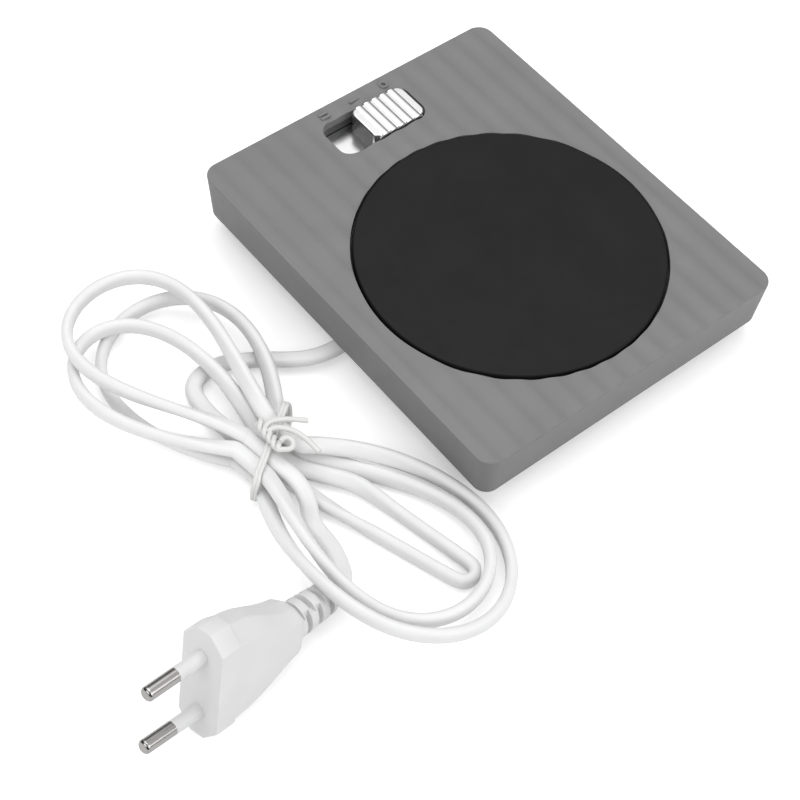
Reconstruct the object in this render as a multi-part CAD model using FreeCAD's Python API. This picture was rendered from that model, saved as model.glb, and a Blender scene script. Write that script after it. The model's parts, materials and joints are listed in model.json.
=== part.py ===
import FreeCAD, Part
import math
import os

# Electric mug warmer: a flat housing with a round heating disc, a three-place slide switch,
# and a flat white mains cord folded into a tied hank that ends in a two-pin plug.
# Millimetres. X runs across the short side, Y towards the switch, Z up.
# The origin is the centre of the underside, on the surface that the feet stand on.

V = FreeCAD.Vector
os.makedirs("parts", exist_ok=True)

# Housing
body_width = 110.0
body_length = 133.0
body_height = 23.0
corner_radius = 5.0
side_draft = 1.2
skirt_lift = 7.1
wall = 2.2
top_wall = 2.6
edge_round = 0.7

# Ripple of the top face: ridges along Y
ripple_pitch = 7.7
ripple_height = 0.4
ripple_crest_x = 1.9

# Switch slot
slot_length = 32.1
slot_width = 14.9
slot_corner = 4.0
slot_edge = 14.1
slot_centre_y = body_length / 2 - slot_edge

# Heating disc and what lies under it
disc_margin = 8.8
disc_to_slot = 10.45
disc_radius = (body_length - disc_margin - disc_to_slot - slot_edge - slot_width / 2) / 2
disc_centre_y = disc_margin + disc_radius - body_length / 2
disc_proud = 0.7
disc_thickness = 3.0
disc_gap = 0.7
disc_edge_round = 0.6
seal_width = 2.6
seal_thickness = 1.0
ledge_thickness = 1.8
ledge_reach = 3.3
collar_wall = 2.2
element_margin = 6.1
element_radius = disc_radius - element_margin
element_thickness = 0.7
pad_thickness = 2.0
clamp_radius = element_radius + 1.0
clamp_thickness = 1.2
clamp_screw_circle = 0.67 * disc_radius
clamp_screw_count = 3
clamp_screw_radius = 1.5
clamp_head_radius = 2.8
clamp_head_height = 1.6
screw_clearance = 0.15
tab_width = 4.8
tab_thickness = 0.8
tab_offset_x = 0.3 * disc_radius
tab_offset_y = 0.56 * disc_radius
tab_drop = 5.0
thermostat_radius = 8.0
thermostat_height = 6.4
thermostat_flange_radius = 11.0
thermostat_flange = 0.8
fuse_radius = 2.0
fuse_length = 11.0
fuse_from_flange = 8.82
fuse_offset_x = thermostat_flange_radius + fuse_from_flange
fuse_lead_radius = 0.5
fuse_lead_length = 5.0
saddle_wall = 0.8

# Knob and marks
knob_length = 19.6
knob_width = 13.7
knob_corner = 2.6
knob_rest_x = 5.3
knob_travel = 10.6
knob_rise = 1.0
ridge_count = 5
ridge_pitch = 3.1
ridge_height = 0.9
well_depth = 0.26 * body_height
skirt_plate = 1.0
skirt_overlap = 1.2
skirt_side = 1.3
slide_clearance = 0.3
guide_wall = 1.5
retainer_floor = 1.6
fork_length = 8.6
fork_width = 4.4
fork_slot = 3.0
mark_height = 0.35
mark_gap_y = 2.8
mark_pitch = 11.5
bar_length = 3.2
bar_width = 0.8
ring_outer = 1.45
ring_inner = 0.75

# Bottom cover, feet and fasteners
cover_inset = 5.0
cover_wall = 2.0
cover_floor = 2.0
cover_lift = 1.6
flange_thickness = 2.0
fit_gap = 0.3
foot_radius = 5.0
foot_recess = 0.5
foot_x = body_width / 2 - 19.0
foot_y = body_length / 2 - 17.5
case_screw_x = body_width / 2 - 11.5
case_screw_y = body_length / 2 - 11.9
boss_radius = 3.6
case_screw_radius = 1.5
case_head_radius = 2.7
case_head_height = 1.6
case_screw_reach = 8.0

# Circuit board and slide switch
board_length = 46.0
board_width = 16.0
board_shift = 2.8
board_centre_y = slot_centre_y - board_shift
board_thickness = 1.6
switch_to_retainer = 1.7
switch_length = 20.0
switch_width = 9.0
switch_height = 0.235 * body_height
lever_size = 2.6
lever_base = 2.4
switch_leg = 0.6
board_screw_x = 19.5
board_screw_radius = 1.3
board_head_radius = 2.5
board_head_height = 1.4
diode_x = 14.3
diode_radius = 1.35
diode_length = 5.2
diode_lead_radius = 0.4
blade_width = 4.0
blade_thickness = 0.8
blade_height = 6.0
blade_pitch = 11.0

# Cord entry, clamp and inner leads
cord_diameter = 4.3
cord_exit_y = 1.0
cord_exit_z = 4.5
bushing_length = 6.2
bushing_width = 11.0
bushing_height = 5.2
bushing_groove = 0.8
inner_cord_length = 16.0
grip_length = 5.0
grip_width = 17.0
grip_thickness = 2.2
grip_screw_spread = 6.0
grip_post_radius = 2.3
grip_screw_radius = 1.1
grip_head_radius = 2.1
grip_head_height = 1.2
lead_radius = 0.9

# Cord on the floor
floor_z = 2.3
layer_rise = 5.0
waist_x = -body_width / 2 - 36.0
waist_y = -17.2
waist_bearing = -83.0
waist_half = 5.5
slot_pitch = 4.95
tie_width = 2.0
tie_thickness = 0.6
tie_gap = 0.35
tie_skew = 76.0
tie_slack = 1.2
waist_lift = 0.8

# Plug: flat two-pin body, standing on its narrow side
plug_x = waist_x - 60.4
plug_y = waist_y - 52.86
plug_z = 19.0
plug_heading = 188.2
plug_tilt = 16.08
plug_lean = -9.6
plug_face_width = 35.3
plug_face_thick = 13.7
plug_flat_width = 26.0
plug_end_flat = 4.6
pin_pitch = 18.6
pin_radius = 2.0
pin_length = 19.0
pin_sleeve = 9.0
pin_toe = 0.9
collar_length = 6.5
shoulder_length = 15.0
neck_length = 10.0
boot_length = 16.0
boot_slots = 3
boot_slot_width = 1.5

# Places worked out from the sizes above
top_z = body_height
ceiling_z = top_z - top_wall
disc_top = top_z + disc_proud
disc_bottom = disc_top - disc_thickness
seal_bottom = disc_bottom - seal_thickness
ledge_bottom = seal_bottom - ledge_thickness
hole_radius = disc_radius + disc_gap
element_bottom = disc_bottom - element_thickness
pad_bottom = element_bottom - pad_thickness
clamp_bottom = pad_bottom - clamp_thickness
cover_top = cover_lift + cover_floor
flange_bottom = skirt_lift + fit_gap
skirt_inner_x = body_width / 2 - side_draft - wall
skirt_inner_y = body_length / 2 - side_draft - wall
cover_half_x = body_width / 2 - side_draft - cover_inset
cover_half_y = body_length / 2 - side_draft - cover_inset
well_z = top_z - well_depth
skirt_bottom = well_z - skirt_plate
plate_half = slot_length / 2 + knob_rest_x + skirt_overlap
plate_half_y = slot_width / 2 + skirt_side
retainer_bottom = skirt_bottom - slide_clearance - retainer_floor
switch_top = retainer_bottom - switch_to_retainer
board_top = switch_top - switch_height
board_bottom = board_top - board_thickness
bushing_face_x = -cover_half_x - bushing_length / 3
cord_radius = cord_diameter / 2


def box(x0, x1, y0, y1, z0, z1):
    return Part.makeBox(x1 - x0, y1 - y0, z1 - z0, V(x0, y0, z0))


def cylinder(radius, x, y, z0, z1):
    return Part.makeCylinder(radius, z1 - z0, V(x, y, z0))


def rounded_wire(half_x, half_y, radius, z, centre_y=0.0, centre_x=0.0):
    """A rectangle with round corners, as a closed wire in the plane z."""
    edges = []
    corners = [(1, 1, 0.0), (-1, 1, 90.0), (-1, -1, 180.0), (1, -1, 270.0)]
    ends = []
    for sx, sy, start in corners:
        cx = centre_x + sx * (half_x - radius)
        cy = centre_y + sy * (half_y - radius)
        points = []
        for angle in (start, start + 45.0, start + 90.0):
            a = math.radians(angle)
            points.append(V(cx + radius * math.cos(a), cy + radius * math.sin(a), z))
        ends.append(points)
    for i, points in enumerate(ends):
        edges.append(Part.Arc(*points).toShape())
        following = ends[(i + 1) % 4][0]
        edges.append(Part.LineSegment(points[2], following).toShape())
    return Part.Wire(edges)


def rounded_block(half_x, half_y, radius, z0, z1, centre_y=0.0, centre_x=0.0):
    wire = rounded_wire(half_x, half_y, radius, z0, centre_y, centre_x)
    return Part.Face(wire).extrude(V(0, 0, z1 - z0))


def fuse_all(shapes):
    result = shapes[0]
    for shape in shapes[1:]:
        result = result.fuse(shape)
    return result.removeSplitter()


def mirrored_places(x, y):
    return [(sx * x, sy * y) for sx in (-1, 1) for sy in (-1, 1)]


def export(node, shape):
    if not shape.isValid():
        print("invalid shape:", node)
    shape.exportStep("parts/" + node + ".step")


def wave_prism():
    """A block under the rippled top face: crests and troughs are equal arcs across X."""
    half_pitch = ripple_pitch / 2
    count = int(body_width / half_pitch) // 2 * 2 + 6
    start = ripple_crest_x - ripple_pitch * (count // 4) - half_pitch / 2
    edges = []
    for i in range(count):
        x0 = start + i * half_pitch
        x1 = x0 + half_pitch
        sign = 1 if i % 2 == 0 else -1
        middle = V((x0 + x1) / 2, 0, top_z + sign * ripple_height / 2)
        edges.append(Part.Arc(V(x0, 0, top_z), middle, V(x1, 0, top_z)).toShape())
    end = start + count * half_pitch
    low = skirt_lift - wall
    corners = [V(end, 0, top_z), V(end, 0, low), V(start, 0, low), V(start, 0, top_z)]
    for a, b in zip(corners, corners[1:]):
        edges.append(Part.LineSegment(a, b).toShape())
    face = Part.Face(Part.Wire(edges))
    face.translate(V(0, -body_length, 0))
    return face.extrude(V(0, 2 * body_length, 0))


def make_top_housing():
    roof = top_z + ripple_height / 2
    lower = rounded_wire(body_width / 2 - side_draft, body_length / 2 - side_draft,
                         corner_radius - side_draft / 2, skirt_lift)
    upper = rounded_wire(body_width / 2, body_length / 2, corner_radius, roof)
    outer = Part.makeLoft([lower, upper], True, True)
    rim = [e for e in outer.Edges if e.BoundBox.ZMin > roof - 0.01]
    outer = outer.makeFillet(edge_round, rim)
    outer = outer.common(wave_prism())
    hollow = rounded_block(skirt_inner_x, skirt_inner_y, corner_radius - wall,
                           skirt_lift - wall, ceiling_z)
    housing = outer.cut(hollow)
    collar = cylinder(hole_radius + collar_wall, 0, disc_centre_y, ledge_bottom, ceiling_z + wall / 2)
    extras = [housing, collar]
    for x, y in mirrored_places(case_screw_x, case_screw_y):
        extras.append(cylinder(boss_radius, x, y, flange_bottom + flange_thickness, ceiling_z + wall / 2))
    for x, y in retainer_places():
        extras.append(cylinder(boss_radius - 1.0, x, y, well_z + slide_clearance, ceiling_z + wall / 2))
    housing = fuse_all(extras)
    cuts = [cylinder(hole_radius, 0, disc_centre_y, seal_bottom, top_z + disc_proud)]
    cuts.append(cylinder(hole_radius - ledge_reach, 0, disc_centre_y, ledge_bottom, top_z))
    cuts.append(rounded_block(slot_length / 2, slot_width / 2, slot_corner,
                              ceiling_z - wall, top_z + ripple_height, slot_centre_y))
    for x, y in mirrored_places(case_screw_x, case_screw_y):
        cuts.append(cylinder(case_screw_radius, x, y, skirt_lift,
                             flange_bottom + flange_thickness + case_screw_reach))
    for x, y in retainer_places():
        cuts.append(cylinder(board_screw_radius, x, y, skirt_lift, ceiling_z - 0.4))
    for cut in cuts:
        housing = housing.cut(cut)
    for mark in marks():
        housing = housing.fuse(mark)
    return housing.removeSplitter()


def marks():
    """Raised marks behind the slot: two bars, one bar and a ring."""
    y = slot_centre_y + slot_width / 2 + mark_gap_y
    foot = top_z - ripple_height
    head = top_z + ripple_height / 2 + mark_height
    shapes = []
    for offset in (-bar_width, bar_width):
        x = -mark_pitch
        shapes.append(box(x - bar_length / 2, x + bar_length / 2,
                          y + offset - bar_width / 2, y + offset + bar_width / 2, foot, head))
    shapes.append(box(-bar_length / 2, bar_length / 2, y - bar_width / 2, y + bar_width / 2, foot, head))
    ring = cylinder(ring_outer, mark_pitch, y, foot, head)
    shapes.append(ring.cut(cylinder(ring_inner, mark_pitch, y, foot, head)))
    return shapes


def retainer_places():
    x = plate_half + knob_travel / 2 + boss_radius
    return [(sx * x, slot_centre_y + sy * plate_half_y * 0.55) for sx in (-1, 1) for sy in (-1, 1)]


def edges_at_height(shape, z):
    """The edges of a shape that lie flat at one height."""
    return [e for e in shape.Edges if abs(e.BoundBox.ZMin - z) < 0.01 and abs(e.BoundBox.ZMax - z) < 0.01]


def make_heating_disc():
    disc = cylinder(disc_radius, 0, disc_centre_y, disc_bottom, disc_top)
    rim = edges_at_height(disc, disc_top)
    disc = disc.makeFillet(disc_edge_round, rim)
    for x, y in clamp_places():
        disc = disc.cut(cylinder(clamp_screw_radius, x, y, disc_bottom, disc_bottom + disc_thickness * 0.6))
    return disc


def clamp_places():
    places = []
    for i in range(clamp_screw_count):
        a = math.radians(90.0 + 360.0 * i / clamp_screw_count)
        places.append((clamp_screw_circle * math.cos(a), disc_centre_y + clamp_screw_circle * math.sin(a)))
    return places


def tab_places():
    return [(-tab_offset_x, disc_centre_y - tab_offset_y), (tab_offset_x, disc_centre_y - tab_offset_y)]


def make_disc_seal():
    outer = hole_radius - fit_gap
    ring = cylinder(outer, 0, disc_centre_y, seal_bottom, disc_bottom)
    return ring.cut(cylinder(outer - seal_width, 0, disc_centre_y, seal_bottom, disc_bottom))


def make_heating_element():
    element = cylinder(element_radius, 0, disc_centre_y, element_bottom, disc_bottom)
    for x, y in clamp_places():
        hole = cylinder(clamp_screw_radius + screw_clearance, x, y, element_bottom, disc_bottom)
        element = element.cut(hole)
    parts = [element]
    for x, y in tab_places():
        parts.append(box(x - tab_width / 2, x + tab_width / 2, y - tab_thickness / 2, y + tab_thickness / 2,
                         clamp_bottom - tab_drop, element_bottom + element_thickness / 2))
    return fuse_all(parts)


def pierced_disc(radius, z0, z1):
    """A round layer with holes for the clamp screws and the element's tabs."""
    layer = cylinder(radius, 0, disc_centre_y, z0, z1)
    for x, y in clamp_places():
        layer = layer.cut(cylinder(clamp_screw_radius + screw_clearance, x, y, z0, z1))
    for x, y in tab_places():
        half = tab_width / 2 + 2 * fit_gap
        layer = layer.cut(box(x - half, x + half, y - 4 * fit_gap, y + 4 * fit_gap, z0, z1))
    return layer


def make_insulation_pad():
    return pierced_disc(element_radius, pad_bottom, element_bottom)


def make_clamp_plate():
    plate = pierced_disc(clamp_radius, clamp_bottom, pad_bottom)
    rim = rounded_lip(clamp_radius, clamp_bottom)
    return fuse_all([plate, rim])


def rounded_lip(radius, z):
    lip = cylinder(radius, 0, disc_centre_y, z - clamp_thickness, z)
    return lip.cut(cylinder(radius - clamp_thickness, 0, disc_centre_y, z - clamp_thickness, z))


def screw(x, y, seat, tip, radius, head_radius, head_height, head_below=True):
    """A pan-head screw with a cross recess; the head is below or above its seat."""
    step = -1 if head_below else 1
    shank = cylinder(radius, x, y, min(seat, tip), max(seat, tip))
    head_z = min(seat, seat + step * head_height)
    head = cylinder(head_radius, x, y, head_z, head_z + head_height)
    outer_z = seat + step * head_height
    rim = edges_at_height(head, outer_z)
    head = head.makeFillet(head_height * 0.4, rim)
    body = shank.fuse(head)
    depth = head_height * 0.5
    low = min(outer_z, outer_z - step * depth)
    arm = head_radius * 0.62
    slot = head_radius * 0.16
    cross = box(x - arm, x + arm, y - slot, y + slot, low, low + depth)
    cross = cross.fuse(box(x - slot, x + slot, y - arm, y + arm, low, low + depth))
    return body.cut(cross).removeSplitter()


def make_clamp_screws():
    shapes = []
    for x, y in clamp_places():
        shapes.append(screw(x, y, clamp_bottom, disc_bottom + disc_thickness * 0.5,
                            clamp_screw_radius - screw_clearance / 2, clamp_head_radius, clamp_head_height))
    return Part.makeCompound(shapes)


def make_thermostat():
    body = cylinder(thermostat_radius, 0, disc_centre_y, clamp_bottom - thermostat_height, clamp_bottom)
    flange_bottom = clamp_bottom - thermostat_flange
    flange = cylinder(thermostat_flange_radius, 0, disc_centre_y, flange_bottom, clamp_bottom)
    low = clamp_bottom - thermostat_height
    blades = []
    for side in (-1, 1):
        x = side * thermostat_radius * 0.5
        blades.append(box(x - tab_thickness / 2, x + tab_thickness / 2, disc_centre_y - tab_width / 2,
                          disc_centre_y + tab_width / 2, low - 2.4, low + 0.5))
    return fuse_all([body, flange] + blades)


def fuse_place():
    return fuse_offset_x, disc_centre_y, clamp_bottom - saddle_wall - fuse_radius - fit_gap / 3


def make_thermal_fuse():
    x, y, z = fuse_place()
    half = fuse_length / 2
    body = Part.makeCylinder(fuse_radius, fuse_length, V(x, y - half, z), V(0, 1, 0))
    reach = fuse_length + 2 * fuse_lead_length
    lead = Part.makeCylinder(fuse_lead_radius, reach, V(x, y - reach / 2, z), V(0, 1, 0))
    return fuse_all([body, lead])


def make_fuse_saddle():
    """A bent strip that holds the thermal fuse to the clamp plate."""
    x, y, z = fuse_place()
    width = fuse_length * 0.45
    outer = fuse_radius + saddle_wall + fit_gap / 3
    inner = fuse_radius + fit_gap / 3
    tube = Part.makeCylinder(outer, width, V(x, y - width / 2, z), V(0, 1, 0))
    block = box(x - outer, x + outer, y - width / 2, y + width / 2, z, clamp_bottom)
    wings = box(x - outer - 4.0, x + outer + 4.0, y - width / 2, y + width / 2,
                clamp_bottom - saddle_wall, clamp_bottom)
    saddle = fuse_all([tube, block, wings])
    bore = Part.makeCylinder(inner, width, V(x, y - width / 2, z), V(0, 1, 0))
    return saddle.cut(bore).removeSplitter()


def make_slide_knob():
    """Chromed knob: ridged block, the flat skirt that closes the slot, and a fork below."""
    y = slot_centre_y
    x = knob_rest_x
    top = top_z + knob_rise
    block = rounded_block(knob_length / 2, knob_width / 2, knob_corner, well_z, top, y, x)
    rim = [e for e in block.Edges if e.BoundBox.ZMin > top - 0.01]
    block = block.makeFillet(edge_round / 2, rim)
    parts = [block]
    sag = ridge_height
    half = ridge_pitch / 2 - 0.25
    depth = knob_width / 2 - edge_round / 3
    for i in range(ridge_count):
        cx = x + (i - (ridge_count - 1) / 2) * ridge_pitch
        inner_y = y - depth
        arc = Part.Arc(V(cx - half, inner_y, top), V(cx, inner_y, top + sag), V(cx + half, inner_y, top))
        base = [V(cx + half, y - depth, top), V(cx + half, y - depth, top - 0.5),
                V(cx - half, y - depth, top - 0.5), V(cx - half, y - depth, top)]
        edges = [arc.toShape()]
        edges += [Part.LineSegment(a, b).toShape() for a, b in zip(base, base[1:])]
        parts.append(Part.Face(Part.Wire(edges)).extrude(V(0, 2 * depth, 0)))
    parts.append(rounded_block(plate_half, plate_half_y, 1.0, skirt_bottom, well_z, y, x))
    fork = box(x - fork_length / 2, x + fork_length / 2, y - fork_width / 2, y + fork_width / 2,
               switch_top + slide_clearance, skirt_bottom)
    fork = fork.cut(box(x - fork_slot / 2, x + fork_slot / 2, y - fork_width, y + fork_width,
                        switch_top, skirt_bottom - 1.0))
    parts.append(fork)
    return fuse_all(parts)


def channel_half():
    return plate_half + knob_rest_x + slide_clearance + 0.3


def make_slide_guide():
    """Frame between the top wall and the knob's skirt: the lower wall of the slot."""
    half = channel_half() + guide_wall
    side = plate_half_y + slide_clearance + guide_wall
    frame = box(-half, half, slot_centre_y - side, slot_centre_y + side, well_z + slide_clearance, ceiling_z)
    opening = rounded_block(slot_length / 2 + 0.5, slot_width / 2 + 0.3, slot_corner,
                            well_z, ceiling_z, slot_centre_y)
    frame = frame.cut(opening)
    for x, y in retainer_places():
        frame = frame.cut(cylinder(boss_radius - 1.0 + screw_clearance, x, y, well_z, ceiling_z))
    return frame


def make_slide_retainer():
    """Plate below the skirt, with side rails; four screws pull it up to the housing."""
    half = channel_half() + guide_wall
    side = plate_half_y + slide_clearance + guide_wall
    plate = box(-half - 3.5, half + 3.5, slot_centre_y - side, slot_centre_y + side,
                retainer_bottom, well_z + slide_clearance)
    inner = box(-channel_half(), channel_half(), slot_centre_y - side + guide_wall,
                slot_centre_y + side - guide_wall, skirt_bottom - slide_clearance, well_z + slide_clearance)
    stem = box(-knob_rest_x - fork_length / 2 - 0.6, knob_rest_x + fork_length / 2 + 0.6,
               slot_centre_y - fork_width / 2 - 0.6, slot_centre_y + fork_width / 2 + 0.6,
               retainer_bottom, skirt_bottom)
    plate = plate.cut(inner).cut(stem)
    for x, y in retainer_places():
        plate = plate.cut(cylinder(board_screw_radius + screw_clearance, x, y,
                                   retainer_bottom, well_z + slide_clearance))
    return plate


def make_retainer_screws():
    shapes = []
    for x, y in retainer_places():
        shapes.append(screw(x, y, retainer_bottom, ceiling_z - 1.2, board_screw_radius - screw_clearance / 2,
                            board_head_radius, board_head_height))
    return Part.makeCompound(shapes)


def make_circuit_board():
    board = rounded_block(board_length / 2, board_width / 2, 1.0, board_bottom, board_top, board_centre_y)
    for x, y in board_screw_places():
        board = board.cut(cylinder(board_screw_radius + screw_clearance, x, y, board_bottom, board_top))
    for x, y in diode_lead_places():
        board = board.cut(cylinder(diode_lead_radius + 0.1, x, y, board_bottom, board_top))
    for x, y in switch_leg_places():
        board = board.cut(cylinder(switch_leg + 0.1, x, y, board_bottom, board_top))
    return board


def board_screw_places():
    y = board_centre_y - board_width / 2 + board_head_radius + 1.0
    return [(-board_screw_x, y), (board_screw_x, y)]


def make_board_screws():
    shapes = []
    for x, y in board_screw_places():
        shapes.append(screw(x, y, board_top, cover_lift + 0.8, board_screw_radius - screw_clearance / 2,
                            board_head_radius, board_head_height, head_below=False))
    return Part.makeCompound(shapes)


def switch_leg_places():
    places = []
    for i in range(4):
        x = -switch_length / 2 + 2.5 + i * (switch_length - 5.0) / 3
        places.append((x, slot_centre_y + switch_width / 2 - 1.2))
    return places


def make_switch_body():
    y = slot_centre_y
    body = rounded_block(switch_length / 2, switch_width / 2, 0.6, board_top, switch_top, y)
    reach = knob_rest_x + lever_size / 2 + 0.5
    cavity = box(-reach, reach, y - lever_size / 2 - 0.2, y + lever_size / 2 + 0.2,
                 board_top + lever_base - 0.2, switch_top)
    body = body.cut(cavity)
    low = board_bottom - 0.8
    legs = [cylinder(switch_leg, x, ly, low, board_top + 0.5) for x, ly in switch_leg_places()]
    return fuse_all([body] + legs)


def make_switch_lever():
    half = lever_size / 2
    return box(knob_rest_x - half, knob_rest_x + half, slot_centre_y - half, slot_centre_y + half,
               board_top + lever_base, skirt_bottom - 1.3)


def diode_lead_places():
    return [(diode_x, board_centre_y - diode_length), (diode_x, board_centre_y + diode_length)]


def make_rectifier_diode():
    """Barrel along Y with its two leads bent down through the board."""
    z = board_top + diode_radius + 0.4
    y = board_centre_y
    body = Part.makeCylinder(diode_radius, diode_length, V(diode_x, y - diode_length / 2, z), V(0, 1, 0))
    reach = diode_length + diode_lead_radius
    lead = Part.makeCylinder(diode_lead_radius, 2 * reach, V(diode_x, y - reach, z), V(0, 1, 0))
    drops = [cylinder(diode_lead_radius, x, ly, board_bottom - 0.6, z) for x, ly in diode_lead_places()]
    return fuse_all([body, lead] + drops)


def blade_places():
    """Flat terminals on the front edge of the board: live in, switched out."""
    y = board_centre_y - board_width / 2 + 2.0
    return [(-blade_pitch / 2, y), (blade_pitch / 2, y)]


def make_board_terminals():
    shapes = []
    for x, y in blade_places():
        shapes.append(box(x - blade_width / 2, x + blade_width / 2, y - blade_thickness / 2,
                          y + blade_thickness / 2, board_top, board_top + blade_height))
    return Part.makeCompound(shapes)


def make_bottom_cover():
    radius = corner_radius - side_draft / 2
    pan = rounded_block(cover_half_x, cover_half_y, radius, cover_lift, flange_bottom + flange_thickness)
    low_rim = [e for e in pan.Edges if e.BoundBox.ZMax < cover_lift + 0.01]
    pan = pan.makeFillet(0.8, low_rim)
    flange = rounded_block(skirt_inner_x - fit_gap, skirt_inner_y - fit_gap, corner_radius - wall,
                           flange_bottom, flange_bottom + flange_thickness)
    inside = rounded_block(cover_half_x - cover_wall, cover_half_y - cover_wall, radius - 1.0,
                           cover_top, flange_bottom + flange_thickness)
    cover = pan.fuse(flange).cut(inside)
    posts = []
    for x, y in mirrored_places(case_screw_x, case_screw_y):
        posts.append(cylinder(boss_radius, x, y, cover_lift, flange_bottom + flange_thickness))
    for x, y in board_screw_places():
        posts.append(cylinder(board_head_radius, x, y, cover_lift + 0.5, board_bottom))
    for x, y in grip_screw_places():
        posts.append(cylinder(grip_post_radius, x, y, cover_lift + 0.5, grip_bottom()))
    cover = fuse_all([cover] + posts)
    for x, y in mirrored_places(case_screw_x, case_screw_y):
        cover = cover.cut(cylinder(case_screw_radius + screw_clearance, x, y, cover_lift, body_height))
        seat_z = cover_lift + case_head_height + 0.4
        cover = cover.cut(cylinder(case_head_radius + screw_clearance, x, y, cover_lift, seat_z))
    for x, y in board_screw_places():
        cover = cover.cut(cylinder(board_screw_radius, x, y, cover_lift + 0.7, board_bottom))
    for x, y in grip_screw_places():
        cover = cover.cut(cylinder(grip_screw_radius, x, y, cover_lift + 0.7, grip_bottom()))
    for x, y in mirrored_places(foot_x, foot_y):
        cover = cover.cut(cylinder(foot_radius + 0.1, x, y, cover_lift, cover_lift + foot_recess))
    groove = Part.makeCylinder(cord_radius + 0.15, inner_cord_length + 4.0,
                               V(-cover_half_x, cord_exit_y, cord_exit_z), V(1, 0, 0))
    cover = cover.cut(groove)
    notch = bushing_width / 2 - bushing_groove + 0.05
    cover = cover.cut(box(-cover_half_x - 0.1, -cover_half_x + cover_wall + 0.1, cord_exit_y - notch,
                          cord_exit_y + notch, bushing_bottom(), bushing_bottom() + bushing_height + 0.05))
    return cover


def bushing_bottom():
    return cord_exit_z - cord_radius - 0.4


def make_cord_bushing():
    """Soft block in a notch of the cover's wall; its groove grips the wall's edges."""
    x0 = bushing_face_x
    x1 = x0 + bushing_length
    low = bushing_bottom()
    high = low + bushing_height
    half = bushing_width / 2
    neck = half - bushing_groove
    outer = rounded_block((-cover_half_x - 0.1 - x0) / 2, half, 0.5, low, high, cord_exit_y,
                          (x0 - cover_half_x - 0.1) / 2)
    inner_x = -cover_half_x + cover_wall + 0.1
    inner_low = max(low, cover_top)
    inner = rounded_block((x1 - inner_x) / 2, half, 0.5, inner_low, high, cord_exit_y, (x1 + inner_x) / 2)
    middle = box(x0 + 0.5, x1 - 0.5, cord_exit_y - neck, cord_exit_y + neck, max(low, cover_top), high)
    middle = middle.fuse(box(x0 + 0.5, inner_x - 0.1, cord_exit_y - neck, cord_exit_y + neck, low, high))
    block = fuse_all([outer, middle, inner])
    bore = Part.makeCylinder(cord_radius + 0.05, bushing_length, V(x0, cord_exit_y, cord_exit_z), V(1, 0, 0))
    return block.cut(bore)


def grip_bottom():
    return cord_exit_z + cord_radius + 0.1


def grip_x():
    return bushing_face_x + bushing_length + 4.5


def grip_screw_places():
    return [(grip_x(), cord_exit_y - grip_screw_spread), (grip_x(), cord_exit_y + grip_screw_spread)]


def make_cord_grip():
    low = grip_bottom()
    high = low + grip_thickness
    bar = rounded_block(grip_length / 2, grip_width / 2, 1.2, low, high, cord_exit_y, grip_x())
    for x, y in grip_screw_places():
        bar = bar.cut(cylinder(grip_screw_radius + screw_clearance, x, y, low, low + grip_thickness))
    return bar


def make_grip_screws():
    shapes = []
    seat = grip_bottom() + grip_thickness
    for x, y in grip_screw_places():
        shapes.append(screw(x, y, seat, cover_lift + 0.9, grip_screw_radius - screw_clearance / 2,
                            grip_head_radius, grip_head_height, head_below=False))
    return Part.makeCompound(shapes)


def inner_end_x():
    return bushing_face_x + inner_cord_length


def make_cord_inner_end():
    start = V(bushing_face_x, cord_exit_y, cord_exit_z)
    return Part.makeCylinder(cord_radius, inner_cord_length, start, V(1, 0, 0))


def make_rubber_feet():
    shapes = []
    for x, y in mirrored_places(foot_x, foot_y):
        pad = cylinder(foot_radius, x, y, 0, cover_lift + foot_recess)
        rim = [e for e in pad.Edges if e.BoundBox.ZMax < 0.01]
        shapes.append(pad.makeFillet(0.4, rim))
    return Part.makeCompound(shapes)


def make_case_screws():
    shapes = []
    seat = cover_lift + case_head_height + 0.4
    tip = flange_bottom + flange_thickness + case_screw_reach - 1.0
    for x, y in mirrored_places(case_screw_x, case_screw_y):
        shapes.append(screw(x, y, seat, tip, case_screw_radius - screw_clearance / 2,
                            case_head_radius, case_head_height))
    return Part.makeCompound(shapes)


def rounded_path(points, radii=None):
    """Straight runs joined by tangent arcs; returns the wire and the arc radii."""
    edges = []
    found = []
    start = points[0]
    for i in range(1, len(points) - 1):
        before = points[i] - points[i - 1]
        after = points[i + 1] - points[i]
        turn = before.getAngle(after)
        shorter = min(before.Length, after.Length)
        reach = 0.45 * shorter
        radius = reach / math.tan(turn / 2)
        found.append(radius)
        inward = V(before).normalize()
        outward = V(after).normalize()
        a = points[i] - inward * reach
        b = points[i] + outward * reach
        bisector = (outward - inward).normalize()
        centre = points[i] + bisector * (radius / math.cos(turn / 2))
        middle = centre - bisector * radius
        edges.append(Part.LineSegment(start, a).toShape())
        edges.append(Part.Arc(a, middle, b).toShape())
        start = b
    edges.append(Part.LineSegment(start, points[-1]).toShape())
    return Part.Wire(edges), found


def tube(wire, radius, start, direction):
    circle = Part.Wire(Part.makeCircle(radius, start, direction))
    return wire.makePipeShell([circle], True, False)


def routed_tube(points, radius, name):
    wire, found = rounded_path(points)
    solid = tube(wire, radius, points[0], points[1] - points[0])
    expected = math.pi * radius ** 2 * wire.Length
    print(name, "length %.1f radii %s volume ratio %.4f" % (
        wire.Length, " ".join("%.1f" % r for r in found), solid.Volume / expected))
    return solid, wire


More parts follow.
